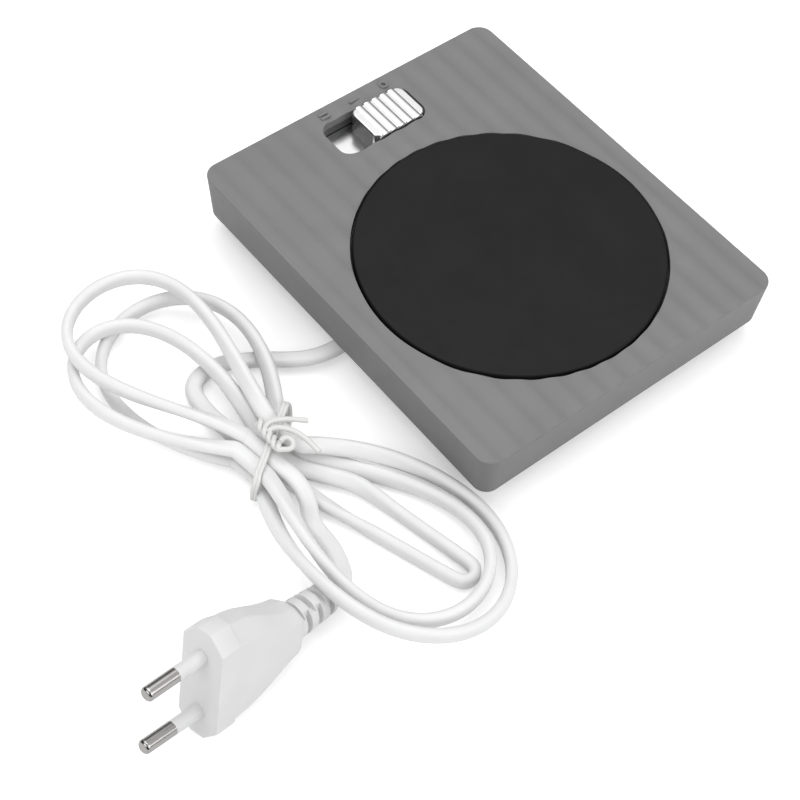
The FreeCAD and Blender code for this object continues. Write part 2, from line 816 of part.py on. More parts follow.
def inner_wires():
    """The four insulated leads inside the housing, each from end to end."""
    run_z = cover_top + lead_radius + 0.6
    live_x, live_y = blade_places()[0]
    out_x, out_y = blade_places()[1]
    blade_z = board_top + blade_height * 0.6
    tabs = tab_places()
    tab_z = clamp_bottom - tab_drop
    fx, fy, fz = fuse_place()
    lead_end = fuse_length / 2 + fuse_lead_length
    stat_z = clamp_bottom - thermostat_height - 2.4
    cord_x = inner_end_x()
    cy = cord_exit_y
    cz = cord_exit_z
    lane = cord_x + 12.0
    r = disc_radius
    dy = disc_centre_y
    left, right = tabs
    stat_x = thermostat_radius * 0.5
    return {
        "live_wire": [V(cord_x, cy + 1.1, cz), V(cord_x + 5, cy + 1.1, cz), V(lane, cy + 11, run_z),
                      V(lane, live_y - 16, run_z), V(live_x - 4, live_y - 9, run_z),
                      V(live_x, live_y - 6, blade_z), V(live_x, live_y - blade_thickness / 2, blade_z)],
        "neutral_wire": [V(cord_x, cy - 1.1, cz), V(cord_x + 6, cy - 1.1, cz), V(-0.7 * fx, cy + 5, run_z),
                         V(0.2 * fx, cy + 8, run_z), V(fx - 4, fy + lead_end + 8, run_z + 1.5),
                         V(fx, fy + lead_end + 4, fz), V(fx, fy + lead_end, fz)],
        "fuse_wire": [V(fx, fy - lead_end, fz), V(fx, fy - lead_end - 4, fz),
                      V(fx - 5, fy - lead_end - 7, run_z + 2), V(stat_x + 2, dy - 9, run_z),
                      V(stat_x, dy, run_z), V(stat_x, dy, stat_z)],
        "element_wire": [V(-stat_x, dy, stat_z), V(-stat_x, dy, run_z), V(-0.2 * r, dy - 0.3 * r, run_z),
                         V(left[0], left[1] + 6, run_z), V(left[0], left[1], run_z + 1),
                         V(left[0], left[1], tab_z)],
        "switched_wire": [V(out_x, out_y - blade_thickness / 2, blade_z), V(out_x, out_y - 6, blade_z),
                          V(out_x + 5, out_y - 11, run_z), V(0.61 * r, dy + 0.72 * r, run_z),
                          V(0.74 * r, dy + 0.3 * r, run_z), V(0.72 * r, dy - 0.23 * r, run_z),
                          V(0.52 * r, dy - 0.53 * r, run_z), V(right[0] + 4, right[1] - 2, run_z),
                          V(right[0], right[1], run_z + 1.2), V(right[0], right[1], tab_z)],
    }


# Hank of cord: six lobes, three on each side of the tie.
# Reach, bearing, half width, fullness (none for the narrow fold), heights at the eighths of its way
# round, and the slot in the tie that it ends in.
# A slot is (column, layer): columns count from west to east, layers from the floor up.
lead_slot = (-0.5, 0)
tail_slot = (-0.5, 1)
arcs_per_lobe = 8
fold_opening = 22.0
hank_lobes = [
    {"reach": 67.6, "bearing": -74.0, "width": -3.0, "full": None,
     "heights": (2.4, 2.4, 2.4, 2.4, 2.4, 2.8, 3.2), "into": (0.5, 0)},
    {"reach": 64.4, "bearing": 107.7, "width": -17.8, "full": 0.56,
     "heights": (5.5, 7.4, 7.9, 7.6, 7.2, 7.3, 7.6), "into": (-1.5, 1)},
    {"reach": 72.7, "bearing": -77.8, "width": -23.9, "full": 0.71,
     "heights": (10.1, 10.2, 8.2, 6.1, 4.8, 3.4, 2.4), "into": (1.5, 0)},
    {"reach": 64.5, "bearing": 92.5, "width": -22.0, "full": 0.42,
     "heights": (6.1, 7.5, 6.0, 3.8, 2.4, 2.4, 2.5), "into": (-1.5, 0)},
    {"reach": 79.4, "bearing": -76.7, "width": -26.8, "full": 0.34,
     "heights": (7.2, 13.5, 10.1, 4.9, 2.8, 4.0, 6.4), "into": (1.2, 1)},
    {"reach": 73.0, "bearing": 101.3, "width": -25.9, "full": 0.9,
     "heights": (10.0, 11.4, 12.1, 12.4, 12.4, 11.5, 10.0), "into": (-0.5, 1)},
]


def unit(bearing):
    a = math.radians(bearing)
    return V(math.cos(a), math.sin(a), 0)


def waist_point(slot, along):
    """A point of a strand in the tie; along runs towards the plug side."""
    axis = unit(waist_bearing)
    across = unit(waist_bearing + 90.0)
    base = V(waist_x, waist_y, floor_z + waist_lift + slot[1] * layer_rise)
    return base + axis * along + across * (slot[0] * slot_pitch)


def blend(a, b, s):
    return a + (b - a) * (1.0 - math.cos(math.pi * s)) / 2.0


def level(levels, turn):
    """Height along a lobe: a smooth rise and fall through evenly spaced levels."""
    steps = [b - a for a, b in zip(levels, levels[1:])]
    slopes = [0.0]
    for a, b in zip(steps, steps[1:]):
        slopes.append(2.0 * a * b / (a + b) if a * b > 0 else 0.0)
    slopes.append(0.0)
    i = min(int(turn * len(steps)), len(steps) - 1)
    f = turn * len(steps) - i
    rise = f * f * (3.0 - 2.0 * f)
    ease = slopes[i] * f * (1.0 - f) ** 2 - slopes[i + 1] * f * f * (1.0 - f)
    return levels[i] + steps[i] * rise + ease


def fold_offsets(lobe, turn):
    """A narrow hairpin: a straight run out, a half circle, and a run back beside it."""
    half = abs(lobe["width"])
    run = lobe["reach"] - waist_half - half
    along = turn * (2.0 * run + math.pi * half)
    if run <= along <= run + math.pi * half:
        angle = (along - run) / half
        return run + half * math.sin(angle), half - half * math.cos(angle)
    ahead = min(along, 2.0 * run + math.pi * half - along)
    spread = min(max(ahead / fold_opening, 0.0), 1.0)
    aside = 2.0 * half * spread * spread * (3.0 - 2.0 * spread)
    return ahead, 0.0 if along < run else aside


def lobe_point(lobe, slot_in, turn):
    """A point of one lobe; turn runs from 0 to 1 round the teardrop."""
    side = 1.0 if lobe["bearing"] < 0 else -1.0
    t = 2.0 * math.pi * turn
    out = (1.0 - math.cos(t)) / 2.0
    forward = unit(lobe["bearing"])
    left = unit(lobe["bearing"] + 90.0)
    start = waist_point(slot_in, side * waist_half)
    end = waist_point(lobe["into"], side * waist_half)
    if lobe["full"] is None:
        ahead, aside = fold_offsets(lobe, turn)
    else:
        ahead = (lobe["reach"] - waist_half) * out
        aside = lobe["width"] * math.sin(t) * out ** lobe["full"]
    point = start + (end - start) * blend(0.0, 1.0, turn) + forward * ahead + left * aside
    point.z = level([start.z] + list(lobe["heights"]) + [end.z], turn)
    return point


def lobe_tangent(lobe, slot_in, turn):
    side = 1.0 if lobe["bearing"] < 0 else -1.0
    if turn <= 0.0:
        return unit(waist_bearing) * side
    if turn >= 1.0:
        return unit(waist_bearing) * -side
    step = 0.001
    ahead = lobe_point(lobe, slot_in, turn + step)
    behind = lobe_point(lobe, slot_in, turn - step)
    return (ahead - behind).normalize()


def biarc(p0, t0, p1, t1):
    """Two tangent arcs between two points with given directions."""
    chord = p1 - p0
    total = t0 + t1
    a = 2.0 * (1.0 - t0.dot(t1))
    b = chord.dot(total)
    c = chord.dot(chord)
    if a < 1e-9:
        d = c / (4.0 * chord.dot(t1))
    else:
        d = (-b + math.sqrt(b * b + a * c)) / a
    joint = (p0 + p1 + (t0 - t1) * d) * 0.5
    return [half_arc(p0, t0, joint), half_arc(joint, t1, p1, at_end=True)]


def half_arc(p, t, q, at_end=False):
    """The arc from p to q that is tangent to t at p, or at q when at_end is set."""
    chord = q - p
    anchor = q if at_end else p
    direction = V(t)
    reach = chord * (-1.0 if at_end else 1.0)
    if at_end:
        direction = direction * -1.0
    cross = direction.cross(reach)
    if cross.Length < 1e-6 * reach.Length:
        return Part.LineSegment(p, q).toShape()
    normal = (reach - direction * reach.dot(direction)).normalize()
    radius = reach.dot(reach) / (2.0 * reach.dot(normal))
    centre = anchor + normal * radius
    middle_direction = ((p + q) * 0.5 - centre)
    angle = (p - centre).getAngle(q - centre)
    if middle_direction.Length < 1e-9:
        middle = centre + direction * radius
    else:
        middle = centre + middle_direction.normalize() * radius
    if reach.dot(direction) < 0:
        middle = centre - middle_direction * radius
    return Part.Arc(p, middle, q).toShape()


def hank_edges():
    edges = []
    slot = lead_slot
    strand_end = waist_point(slot, waist_half)
    edges.append(Part.LineSegment(waist_point(slot, -waist_half - 3.0), strand_end).toShape())
    for number, lobe in enumerate(hank_lobes):
        for part in range(arcs_per_lobe):
            a = part / arcs_per_lobe
            b = a + 1.0 / arcs_per_lobe
            edges += biarc(lobe_point(lobe, slot, a), lobe_tangent(lobe, slot, a),
                           lobe_point(lobe, slot, b), lobe_tangent(lobe, slot, b))
        slot = lobe["into"]
        side = 1.0 if lobe["bearing"] < 0 else -1.0
        finish = -side * waist_half
        if number == len(hank_lobes) - 1:
            finish = waist_half + 3.0
        run_start = waist_point(slot, side * waist_half)
        edges.append(Part.LineSegment(run_start, waist_point(slot, finish)).toShape())
    return edges


def self_gap(wire, diameter, step=1.0):
    """Least clear space between stretches of one tube, measured on points along it."""
    count = int(wire.Length / step)
    points = wire.discretize(count)
    skip = int(3.0 * diameter / step)
    least = 1e9
    place = None
    for i in range(count):
        for j in range(i + skip, count):
            d = points[i].distanceToPoint(points[j])
            if d < least:
                least = d
                place = (points[i], points[j], i * step, j * step)
    return least - diameter, place


def make_cord_hank():
    edges = hank_edges()
    radii = [e.Curve.Radius for e in edges if hasattr(e.Curve, "Radius")]
    wire = Part.Wire(edges)
    first = waist_point(lead_slot, -waist_half - 3.0)
    solid = tube(wire, cord_radius, first, unit(waist_bearing))
    gap, place = self_gap(wire, cord_diameter)
    print("cord_hank length %.1f least radius %.1f least gap %.2f volume ratio %.4f" % (
        wire.Length, min(radii), gap, solid.Volume / (math.pi * cord_radius ** 2 * wire.Length)))
    print("  gap at", [round(v, 1) for v in place[0]], [round(v, 1) for v in place[1]],
          "along", round(place[2]), round(place[3]))
    return solid, wire


def make_cord_lead():
    """From the bushing down to the floor, round under the lobes and back to the tie."""
    end = waist_point(lead_slot, -waist_half - 3.0)
    back = unit(waist_bearing) * -1.0
    x = bushing_face_x
    y = cord_exit_y
    points = [V(x, y, cord_exit_z), V(x - 6.0, y, cord_exit_z), V(x - 13.5, y + 3.6, floor_z + 1.0),
              V(x - 22.0, y + 11.2, floor_z), V(waist_x + 7.0, y + 17.6, floor_z),
              V(waist_x - 4.0, y + 15.6, floor_z), V(end.x, end.y, floor_z) + back * 15.5,
              end + back * 6.0, end]
    return routed_tube(points, cord_radius, "cord_lead")


def plug_axes():
    """Unit vectors of the plug: to the pin tips, to the lower pin, and out of the broad face."""
    h, t, r = [math.radians(a) for a in (plug_heading, plug_tilt, plug_lean)]
    u = V(math.cos(h) * math.cos(t), math.sin(h) * math.cos(t), math.sin(t))
    side = V(0, 0, 1).cross(u).normalize()
    up = u.cross(side)
    w = (up * math.cos(r) + side * math.sin(r)) * -1.0
    return u, w, u.cross(w)


def in_plug_frame(shape):
    u, w, n = plug_axes()
    matrix = FreeCAD.Matrix(u.x, w.x, n.x, plug_x, u.y, w.y, n.y, plug_y,
                            u.z, w.z, n.z, plug_z, 0, 0, 0, 1)
    moved = shape.copy()
    moved.Placement = FreeCAD.Placement(matrix)
    return moved


def boot_end():
    u = plug_axes()[0]
    reach = collar_length + shoulder_length + neck_length + boot_length
    return V(plug_x, plug_y, plug_z) - u * reach


def make_cord_tail():
    """From the tie to the strain relief of the plug, under the right-hand lobes."""
    start = waist_point(tail_slot, waist_half + 3.0)
    ahead = unit(waist_bearing)
    u = plug_axes()[0]
    end = boot_end()
    points = [start, start + ahead * 5.0, start + ahead * 11.0 + V(-1.4, 0, -1.6),
              V(waist_x - 4.0, waist_y - 24.3, floor_z),
              V(waist_x - 3.6, waist_y - 32.8, floor_z), V(waist_x - 6.0, waist_y - 41.3, floor_z + 0.3),
              end - u * 6.0, end]
    return routed_tube(points, cord_radius, "cord_tail")


def octagon(half_w, half_n, chamfer, s):
    cn = min(chamfer, half_n * 0.68)
    points = [V(s, half_w, half_n - cn), V(s, half_w - chamfer, half_n), V(s, -half_w + chamfer, half_n),
              V(s, -half_w, half_n - cn), V(s, -half_w, -half_n + cn), V(s, -half_w + chamfer, -half_n),
              V(s, half_w - chamfer, -half_n), V(s, half_w, -half_n + cn)]
    return Part.makePolygon(points + [points[0]])


def pin_line(side, s):
    """The middle of one pin at a distance s from the plug's face."""
    lean = math.radians(pin_toe)
    return V(s, side * (pin_pitch / 2 - math.tan(lean) * s), 0)


def pin_rod(side, radius, s0, s1):
    a = pin_line(side, s0)
    b = pin_line(side, s1)
    return Part.makeCylinder(radius, (b - a).Length, a, b - a)


def make_plug_pins():
    shapes = []
    for side in (-1, 1):
        metal = pin_rod(side, pin_radius, pin_sleeve, pin_length)
        tip = [e for e in metal.Edges if e.BoundBox.XMin > pin_length - 0.3]
        metal = metal.makeFillet(pin_radius * 0.45, tip)
        core = pin_rod(side, pin_radius - 0.5, -12.0, pin_sleeve + 0.5)
        shapes.append(in_plug_frame(fuse_all([metal, core])))
    return Part.makeCompound(shapes)


def make_plug_sleeves():
    shapes = []
    for side in (-1, 1):
        outer = pin_rod(side, pin_radius, 0.0, pin_sleeve)
        shapes.append(in_plug_frame(outer.cut(pin_rod(side, pin_radius - 0.5, -1.0, pin_sleeve + 1.0))))
    return Part.makeCompound(shapes)


def bridge_block():
    return Part.makeBox(5.0, pin_pitch + 7.0, 6.5, V(-9.0, -pin_pitch / 2 - 3.5, -3.25))


def make_plug_bridge():
    """Hard inner bar that holds both pins while the body is moulded round it."""
    block = bridge_block()
    for side in (-1, 1):
        block = block.cut(pin_rod(side, pin_radius - 0.5, -14.0, 0.0))
    return in_plug_frame(block)


def make_plug_body():
    half_w = plug_face_width / 2
    half_n = plug_face_thick / 2
    chamfer = (plug_face_width - plug_flat_width) / 2
    face = octagon(half_w, half_n, chamfer, 0)
    front = Part.makeLoft([face, octagon(half_w, half_n, chamfer, -collar_length)], True, True)
    s1 = -collar_length
    s2 = s1 - shoulder_length
    s3 = s2 - neck_length
    shoulder = Part.makeLoft([octagon(half_w - 0.5, half_n - 0.4, chamfer, s1), octagon(12.5, 6.3, 4.0, s2)],
                             True, True)
    neck = Part.makeLoft([octagon(12.5, 6.3, 4.0, s2), octagon(5.6, 4.8, 2.0, s3)], True, True)
    s4 = s3 - boot_length
    boot = Part.makeCone(4.1, 5.2, boot_length, V(s4, 0, 0), V(1, 0, 0))
    body = fuse_all([front, shoulder, neck, boot])
    for i in range(boot_slots):
        s = s4 + 3.0 + i * (boot_slot_width * 2 + 1.6)
        for side in (-1, 1):
            z0 = 2.9 if side > 0 else -9.0
            body = body.cut(Part.makeBox(boot_slot_width, 12, 6.1, V(s, -6, z0)))
            y0 = 2.9 if side > 0 else -9.0
            body = body.cut(Part.makeBox(boot_slot_width, 6.1, 12, V(s + boot_slot_width + 0.8, y0, -6)))
    body = body.cut(bridge_block())
    for side in (-1, 1):
        body = body.cut(pin_rod(side, pin_radius - 0.5, -12.0, 1.0))
    return in_plug_frame(body)


def make_cord_tie():
    """A thin band round the strands, closed by a short twist with two free ends."""
    low = 0.1
    high = floor_z + waist_lift + layer_rise + cord_radius + tie_gap + tie_thickness
    skew = math.sin(math.radians(tie_skew))
    half = (1.5 * slot_pitch + cord_radius + tie_gap) / skew + tie_thickness + tie_slack
    d = unit(waist_bearing - tie_skew)
    normal = unit(waist_bearing - tie_skew + 90.0)
    middle_z = (low + high) / 2

    def loop(reach, lift, radius):
        wire = rounded_wire(reach, lift, radius, 0.0)
        matrix = FreeCAD.Matrix(d.x, 0, normal.x, waist_x, d.y, 0, normal.y, waist_y,
                                0, 1, 0, middle_z, 0, 0, 0, 1)
        face = Part.Face(wire)
        face.Placement = FreeCAD.Placement(matrix)
        return face

    lift = (high - low) / 2
    outer = loop(half, lift, 4.0)
    inner = loop(half - tie_thickness, lift - tie_thickness, 4.0 - tie_thickness)
    ring = outer.cut(inner)
    ring.translate(normal * (-tie_width / 2))
    band = ring.extrude(normal * tie_width)
    foot = V(waist_x, waist_y, high - tie_thickness / 2) - d * (half * 0.45)
    ends = []
    upper_end = (V(3.4, -1.0, 1.6), V(6.4, -2.2, 2.4), V(8.6, -3.4, 2.2))
    lower_end = (V(0.4, -4.0, 1.5), V(1.4, -9.0, 3.4), V(3.6, -13.6, 3.0))
    for reach in (upper_end, lower_end):
        points = [foot] + [foot + step for step in reach]
        wire, found = rounded_path(points)
        ends.append(tube(wire, tie_thickness * 0.8, points[0], points[1] - points[0]))
    return fuse_all([band] + ends)


def make_wires(routes):
    for name in routes:
        solid, wire = routed_tube(routes[name], lead_radius, name)
        export(name, solid)


def main():
    export("top_housing", make_top_housing())
    export("bottom_cover", make_bottom_cover())
    export("heating_disc", make_heating_disc())
    export("disc_seal", make_disc_seal())
    export("heating_element", make_heating_element())
    export("insulation_pad", make_insulation_pad())
    export("clamp_plate", make_clamp_plate())
    export("clamp_screws", make_clamp_screws())
    export("thermostat", make_thermostat())
    export("thermal_fuse", make_thermal_fuse())
    export("fuse_saddle", make_fuse_saddle())
    export("slide_knob", make_slide_knob())
    export("slide_guide", make_slide_guide())
    export("slide_retainer", make_slide_retainer())
    export("retainer_screws", make_retainer_screws())
    export("circuit_board", make_circuit_board())
    export("board_screws", make_board_screws())
    export("switch_body", make_switch_body())
    export("switch_lever", make_switch_lever())
    export("rectifier_diode", make_rectifier_diode())
    export("board_terminals", make_board_terminals())
    export("cord_bushing", make_cord_bushing())
    export("cord_grip", make_cord_grip())
    export("grip_screws", make_grip_screws())
    export("cord_inner_end", make_cord_inner_end())
    export("rubber_feet", make_rubber_feet())
    export("case_screws", make_case_screws())
    make_wires(inner_wires())
    lead, lead_wire = make_cord_lead()
    export("cord_lead", lead)
    tail, tail_wire = make_cord_tail()
    export("cord_tail", tail)
    hank, hank_wire = make_cord_hank()
    export("cord_hank", hank)
    total = lead_wire.Length + hank_wire.Length + tail_wire.Length
    print("cord length %.1f" % total)
    export("cord_tie", make_cord_tie())
    export("plug_body", make_plug_body())
    export("plug_pins", make_plug_pins())
    export("plug_sleeves", make_plug_sleeves())
    export("plug_bridge", make_plug_bridge())


main()
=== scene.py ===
import bpy
import json
import math
from mathutils import Matrix, Vector


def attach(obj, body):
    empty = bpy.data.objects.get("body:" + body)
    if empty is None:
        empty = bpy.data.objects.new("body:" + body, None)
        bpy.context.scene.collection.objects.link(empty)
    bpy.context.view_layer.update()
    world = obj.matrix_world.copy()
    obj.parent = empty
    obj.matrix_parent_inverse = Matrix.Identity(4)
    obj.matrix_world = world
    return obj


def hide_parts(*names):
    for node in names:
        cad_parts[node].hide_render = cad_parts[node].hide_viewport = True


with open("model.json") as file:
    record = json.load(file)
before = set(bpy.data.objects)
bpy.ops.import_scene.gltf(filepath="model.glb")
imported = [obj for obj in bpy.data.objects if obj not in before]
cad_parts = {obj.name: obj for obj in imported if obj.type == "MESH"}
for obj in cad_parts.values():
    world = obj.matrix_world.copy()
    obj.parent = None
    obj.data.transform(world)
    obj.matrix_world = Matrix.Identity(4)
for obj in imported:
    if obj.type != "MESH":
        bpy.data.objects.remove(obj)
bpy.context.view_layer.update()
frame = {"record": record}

# Electric mug warmer. The CAD parts keep their shapes and get their finishes here; the cord, the tie, the
# plug's moulding and the knob are drawn again as flat flex, twisted strip, soft plastic and chrome.
# Sizes of the pieces are in millimetres, which MM turns into metres. Camera, lamps and grain are in metres.

MM = 0.001


# Selecting, joining and finishing pieces.


def deselect():
    bpy.ops.object.select_all(action="DESELECT")


def select_only(*pieces):
    """Selects these pieces and nothing else, with the first one active."""
    deselect()
    for piece in pieces:
        piece.select_set(True)
    bpy.context.view_layer.objects.active = pieces[0]


def join(*pieces):
    """Joins the pieces into the first one."""
    select_only(*pieces)
    bpy.ops.object.join()
    return bpy.context.active_object


def apply_place():
    bpy.ops.object.transform_apply(location=True, rotation=True, scale=True)


def apply_modifier(piece, kind, name, **values):
    modifier = piece.modifiers.new(name, kind)
    for key, value in values.items():
        setattr(modifier, key, value)
    select_only(piece)
    bpy.ops.object.modifier_apply(modifier=name)


def soften(piece, name, width, segments, angle):
    """Rounds every edge that is sharper than the angle."""
    apply_modifier(piece, "BEVEL", name, width=width * MM, segments=segments, limit_method="ANGLE",
                   angle_limit=math.radians(angle))


def add_block(size, place):
    """A box with its middle at the given place."""
    deselect()
    bpy.ops.mesh.primitive_cube_add(size=1.0, location=[v * MM for v in place])
    box = bpy.context.active_object
    box.scale = [v * MM for v in size]
    apply_place()
    return box


def select_edges_along(piece, axis):
    """Leaves only the edges that run along one axis selected, in edit mode."""
    bpy.ops.object.mode_set(mode="EDIT")
    bpy.ops.mesh.select_mode(type="EDGE")
    bpy.ops.mesh.select_all(action="DESELECT")
    bpy.ops.object.mode_set(mode="OBJECT")
    for edge in piece.data.edges:
        a, b = [piece.data.vertices[i].co for i in edge.vertices]
        edge.select = abs(a[axis] - b[axis]) > 0.0005
    bpy.ops.object.mode_set(mode="EDIT")


def select_back_face(piece):
    """Leaves only the rearmost face selected, in edit mode."""
    bpy.ops.mesh.select_mode(type="FACE")
    bpy.ops.mesh.select_all(action="DESELECT")
    bpy.ops.object.mode_set(mode="OBJECT")
    back = min(piece.data.polygons, key=lambda f: f.center.x)
    back.select = True
    bpy.ops.object.mode_set(mode="EDIT")


# Finishes: moulded plastic and metal each share one shader node group, on Object coordinates.

WHITE = (1.0, 1.0, 1.0, 1.0)
MOTTLE_SCALE = 60.0
MOTTLE_DETAIL = 2.0
MOTTLE_START = 0.35
MOTTLE_END = 0.65
GRAIN_DETAIL = 2.0
GRAIN_STRENGTH = 0.35
GLOSS_SCALE = 220.0
GLOSS_DETAIL = 3.0
GLOSS_SPREAD = 0.05
STREAK_SCALE = 400.0
STREAK_DETAIL = 4.0
STREAK_STRENGTH = 0.08
STREAK_DEPTH = 0.00001
LEAST_ROUGHNESS = 0.02
COLOUR = "NodeSocketColor"
VALUE = "NodeSocketFloat"
VECTOR = "NodeSocketVector"
# Places of the colour sockets on a Mix node.
MIX_SHARE = 0
MIX_FIRST = 6
MIX_SECOND = 7
MIX_RESULT = 2


def new_group(name, inputs, outputs):
    """An empty node group with named sockets, and its input and output nodes."""
    group = bpy.data.node_groups.new(name, "ShaderNodeTree")
    for way, sockets in (("INPUT", inputs), ("OUTPUT", outputs)):
        for socket, kind in sockets.items():
            group.interface.new_socket(name=socket, in_out=way, socket_type=kind)
    return group, group.nodes.new("NodeGroupInput"), group.nodes.new("NodeGroupOutput")


def object_noise(tree, scale, detail):
    """Noise on Object coordinates, and the mapping node that can stretch it."""
    place = tree.nodes.new("ShaderNodeTexCoord")
    mapping = tree.nodes.new("ShaderNodeMapping")
    noise = tree.nodes.new("ShaderNodeTexNoise")
    noise.inputs["Scale"].default_value = scale
    noise.inputs["Detail"].default_value = detail
    tree.links.new(place.outputs["Object"], mapping.inputs["Vector"])
    tree.links.new(mapping.outputs["Vector"], noise.inputs["Vector"])
    return noise, mapping


def map_range(tree, source, start=0.0, end=1.0, low=0.0, high=1.0):
    """Turns a value between start and end into one between low and high."""
    span = tree.nodes.new("ShaderNodeMapRange")
    for socket, value in (("From Min", start), ("From Max", end), ("To Min", low), ("To Max", high)):
        span.inputs[socket].default_value = value
    tree.links.new(source, span.inputs["Value"])
    return span


def add_bump(tree, source, strength, depth):
    bump = tree.nodes.new("ShaderNodeBump")
    bump.inputs["Strength"].default_value = strength
    bump.inputs["Distance"].default_value = depth
    tree.links.new(source, bump.inputs["Height"])
    return bump


def moulded_group():
    """A faint mottle in the colour, uneven gloss and a fine grain."""
    group, given, made = new_group(
        "moulded_surface",
        {"Dark Colour": COLOUR, "Pale Colour": COLOUR, "Least Roughness": VALUE, "Most Roughness": VALUE,
         "Grain Scale": VALUE, "Grain Depth": VALUE},
        {"Colour": COLOUR, "Roughness": VALUE, "Normal": VECTOR})
    link = group.links.new
    mottle, _ = object_noise(group, MOTTLE_SCALE, MOTTLE_DETAIL)
    share = map_range(group, mottle.outputs["Fac"], MOTTLE_START, MOTTLE_END)
    blend = group.nodes.new("ShaderNodeMix")
    blend.data_type = "RGBA"
    link(share.outputs["Result"], blend.inputs[MIX_SHARE])
    link(given.outputs["Dark Colour"], blend.inputs[MIX_FIRST])
    link(given.outputs["Pale Colour"], blend.inputs[MIX_SECOND])
    link(blend.outputs[MIX_RESULT], made.inputs["Colour"])
    grain, _ = object_noise(group, 1.0, GRAIN_DETAIL)
    link(given.outputs["Grain Scale"], grain.inputs["Scale"])
    bump = add_bump(group, grain.outputs["Fac"], GRAIN_STRENGTH, 1.0)
    link(given.outputs["Grain Depth"], bump.inputs["Distance"])
    link(bump.outputs["Normal"], made.inputs["Normal"])
    gloss, _ = object_noise(group, GLOSS_SCALE, GLOSS_DETAIL)
    span = map_range(group, gloss.outputs["Fac"])
    link(given.outputs["Least Roughness"], span.inputs["To Min"])
    link(given.outputs["Most Roughness"], span.inputs["To Max"])
    link(span.outputs["Result"], made.inputs["Roughness"])
    return group


def metal_group():
    """Drawn or rolled streaks in the gloss."""
    group, given, made = new_group(
        "metal_surface",
        {"Stretch": VECTOR, "Least Roughness": VALUE, "Most Roughness": VALUE},
        {"Roughness": VALUE, "Normal": VECTOR})
    link = group.links.new
    streaks, mapping = object_noise(group, STREAK_SCALE, STREAK_DETAIL)
    link(given.outputs["Stretch"], mapping.inputs["Scale"])
    span = map_range(group, streaks.outputs["Fac"])
    link(given.outputs["Least Roughness"], span.inputs["To Min"])
    link(given.outputs["Most Roughness"], span.inputs["To Max"])
    link(span.outputs["Result"], made.inputs["Roughness"])
    bump = add_bump(group, streaks.outputs["Fac"], STREAK_STRENGTH, STREAK_DEPTH)
    link(bump.outputs["Normal"], made.inputs["Normal"])
    return group


MOULDED_SURFACE = moulded_group()
METAL_SURFACE = metal_group()


def new_material(name, colour, roughness, metallic=0.0, specular=0.5):
    material = bpy.data.materials.new(name)
    material.use_nodes = True
    tree = material.node_tree
    shader = tree.nodes["Principled BSDF"]
    shader.inputs["Base Color"].default_value = (*colour, 1.0)
    shader.inputs["Roughness"].default_value = roughness
    shader.inputs["Metallic"].default_value = metallic
    shader.inputs["Specular IOR Level"].default_value = specular
    return material, tree, shader


def place_group(tree, shader, group, values):
    """Places a surface group in a material with its own values and links it to the shader."""
    node = tree.nodes.new("ShaderNodeGroup")
    node.node_tree = group
    for socket, value in values.items():
        node.inputs[socket].default_value = value
    for source, target in (("Colour", "Base Color"), ("Roughness", "Roughness"), ("Normal", "Normal")):
        if source in node.outputs:
            tree.links.new(node.outputs[source], shader.inputs[target])


def moulded(name, colour, roughness, spread=0.06, grain=2500.0, grain_depth=0.00002, specular=0.5):
    """Moulded plastic, rubber, felt or braid."""
    material, tree, shader = new_material(name, colour, roughness, specular=specular)
    dark = [c * (1.0 - spread) for c in colour]
    pale = [min(1.0, c * (1.0 + spread)) for c in colour]
    place_group(tree, shader, MOULDED_SURFACE, {
        "Dark Colour": (*dark, 1.0), "Pale Colour": (*pale, 1.0),
        "Least Roughness": roughness - GLOSS_SPREAD, "Most Roughness": roughness + GLOSS_SPREAD,
        "Grain Scale": grain, "Grain Depth": grain_depth})
    return material


def metal(name, colour, roughness, stretch=(1.0, 1.0, 1.0), spread=0.08):
    """Bare or plated metal."""
    material, tree, shader = new_material(name, colour, roughness, metallic=1.0)
    place_group(tree, shader, METAL_SURFACE, {
        "Stretch": stretch, "Least Roughness": max(LEAST_ROUGHNESS, roughness - spread),
        "Most Roughness": roughness + spread})
    return material


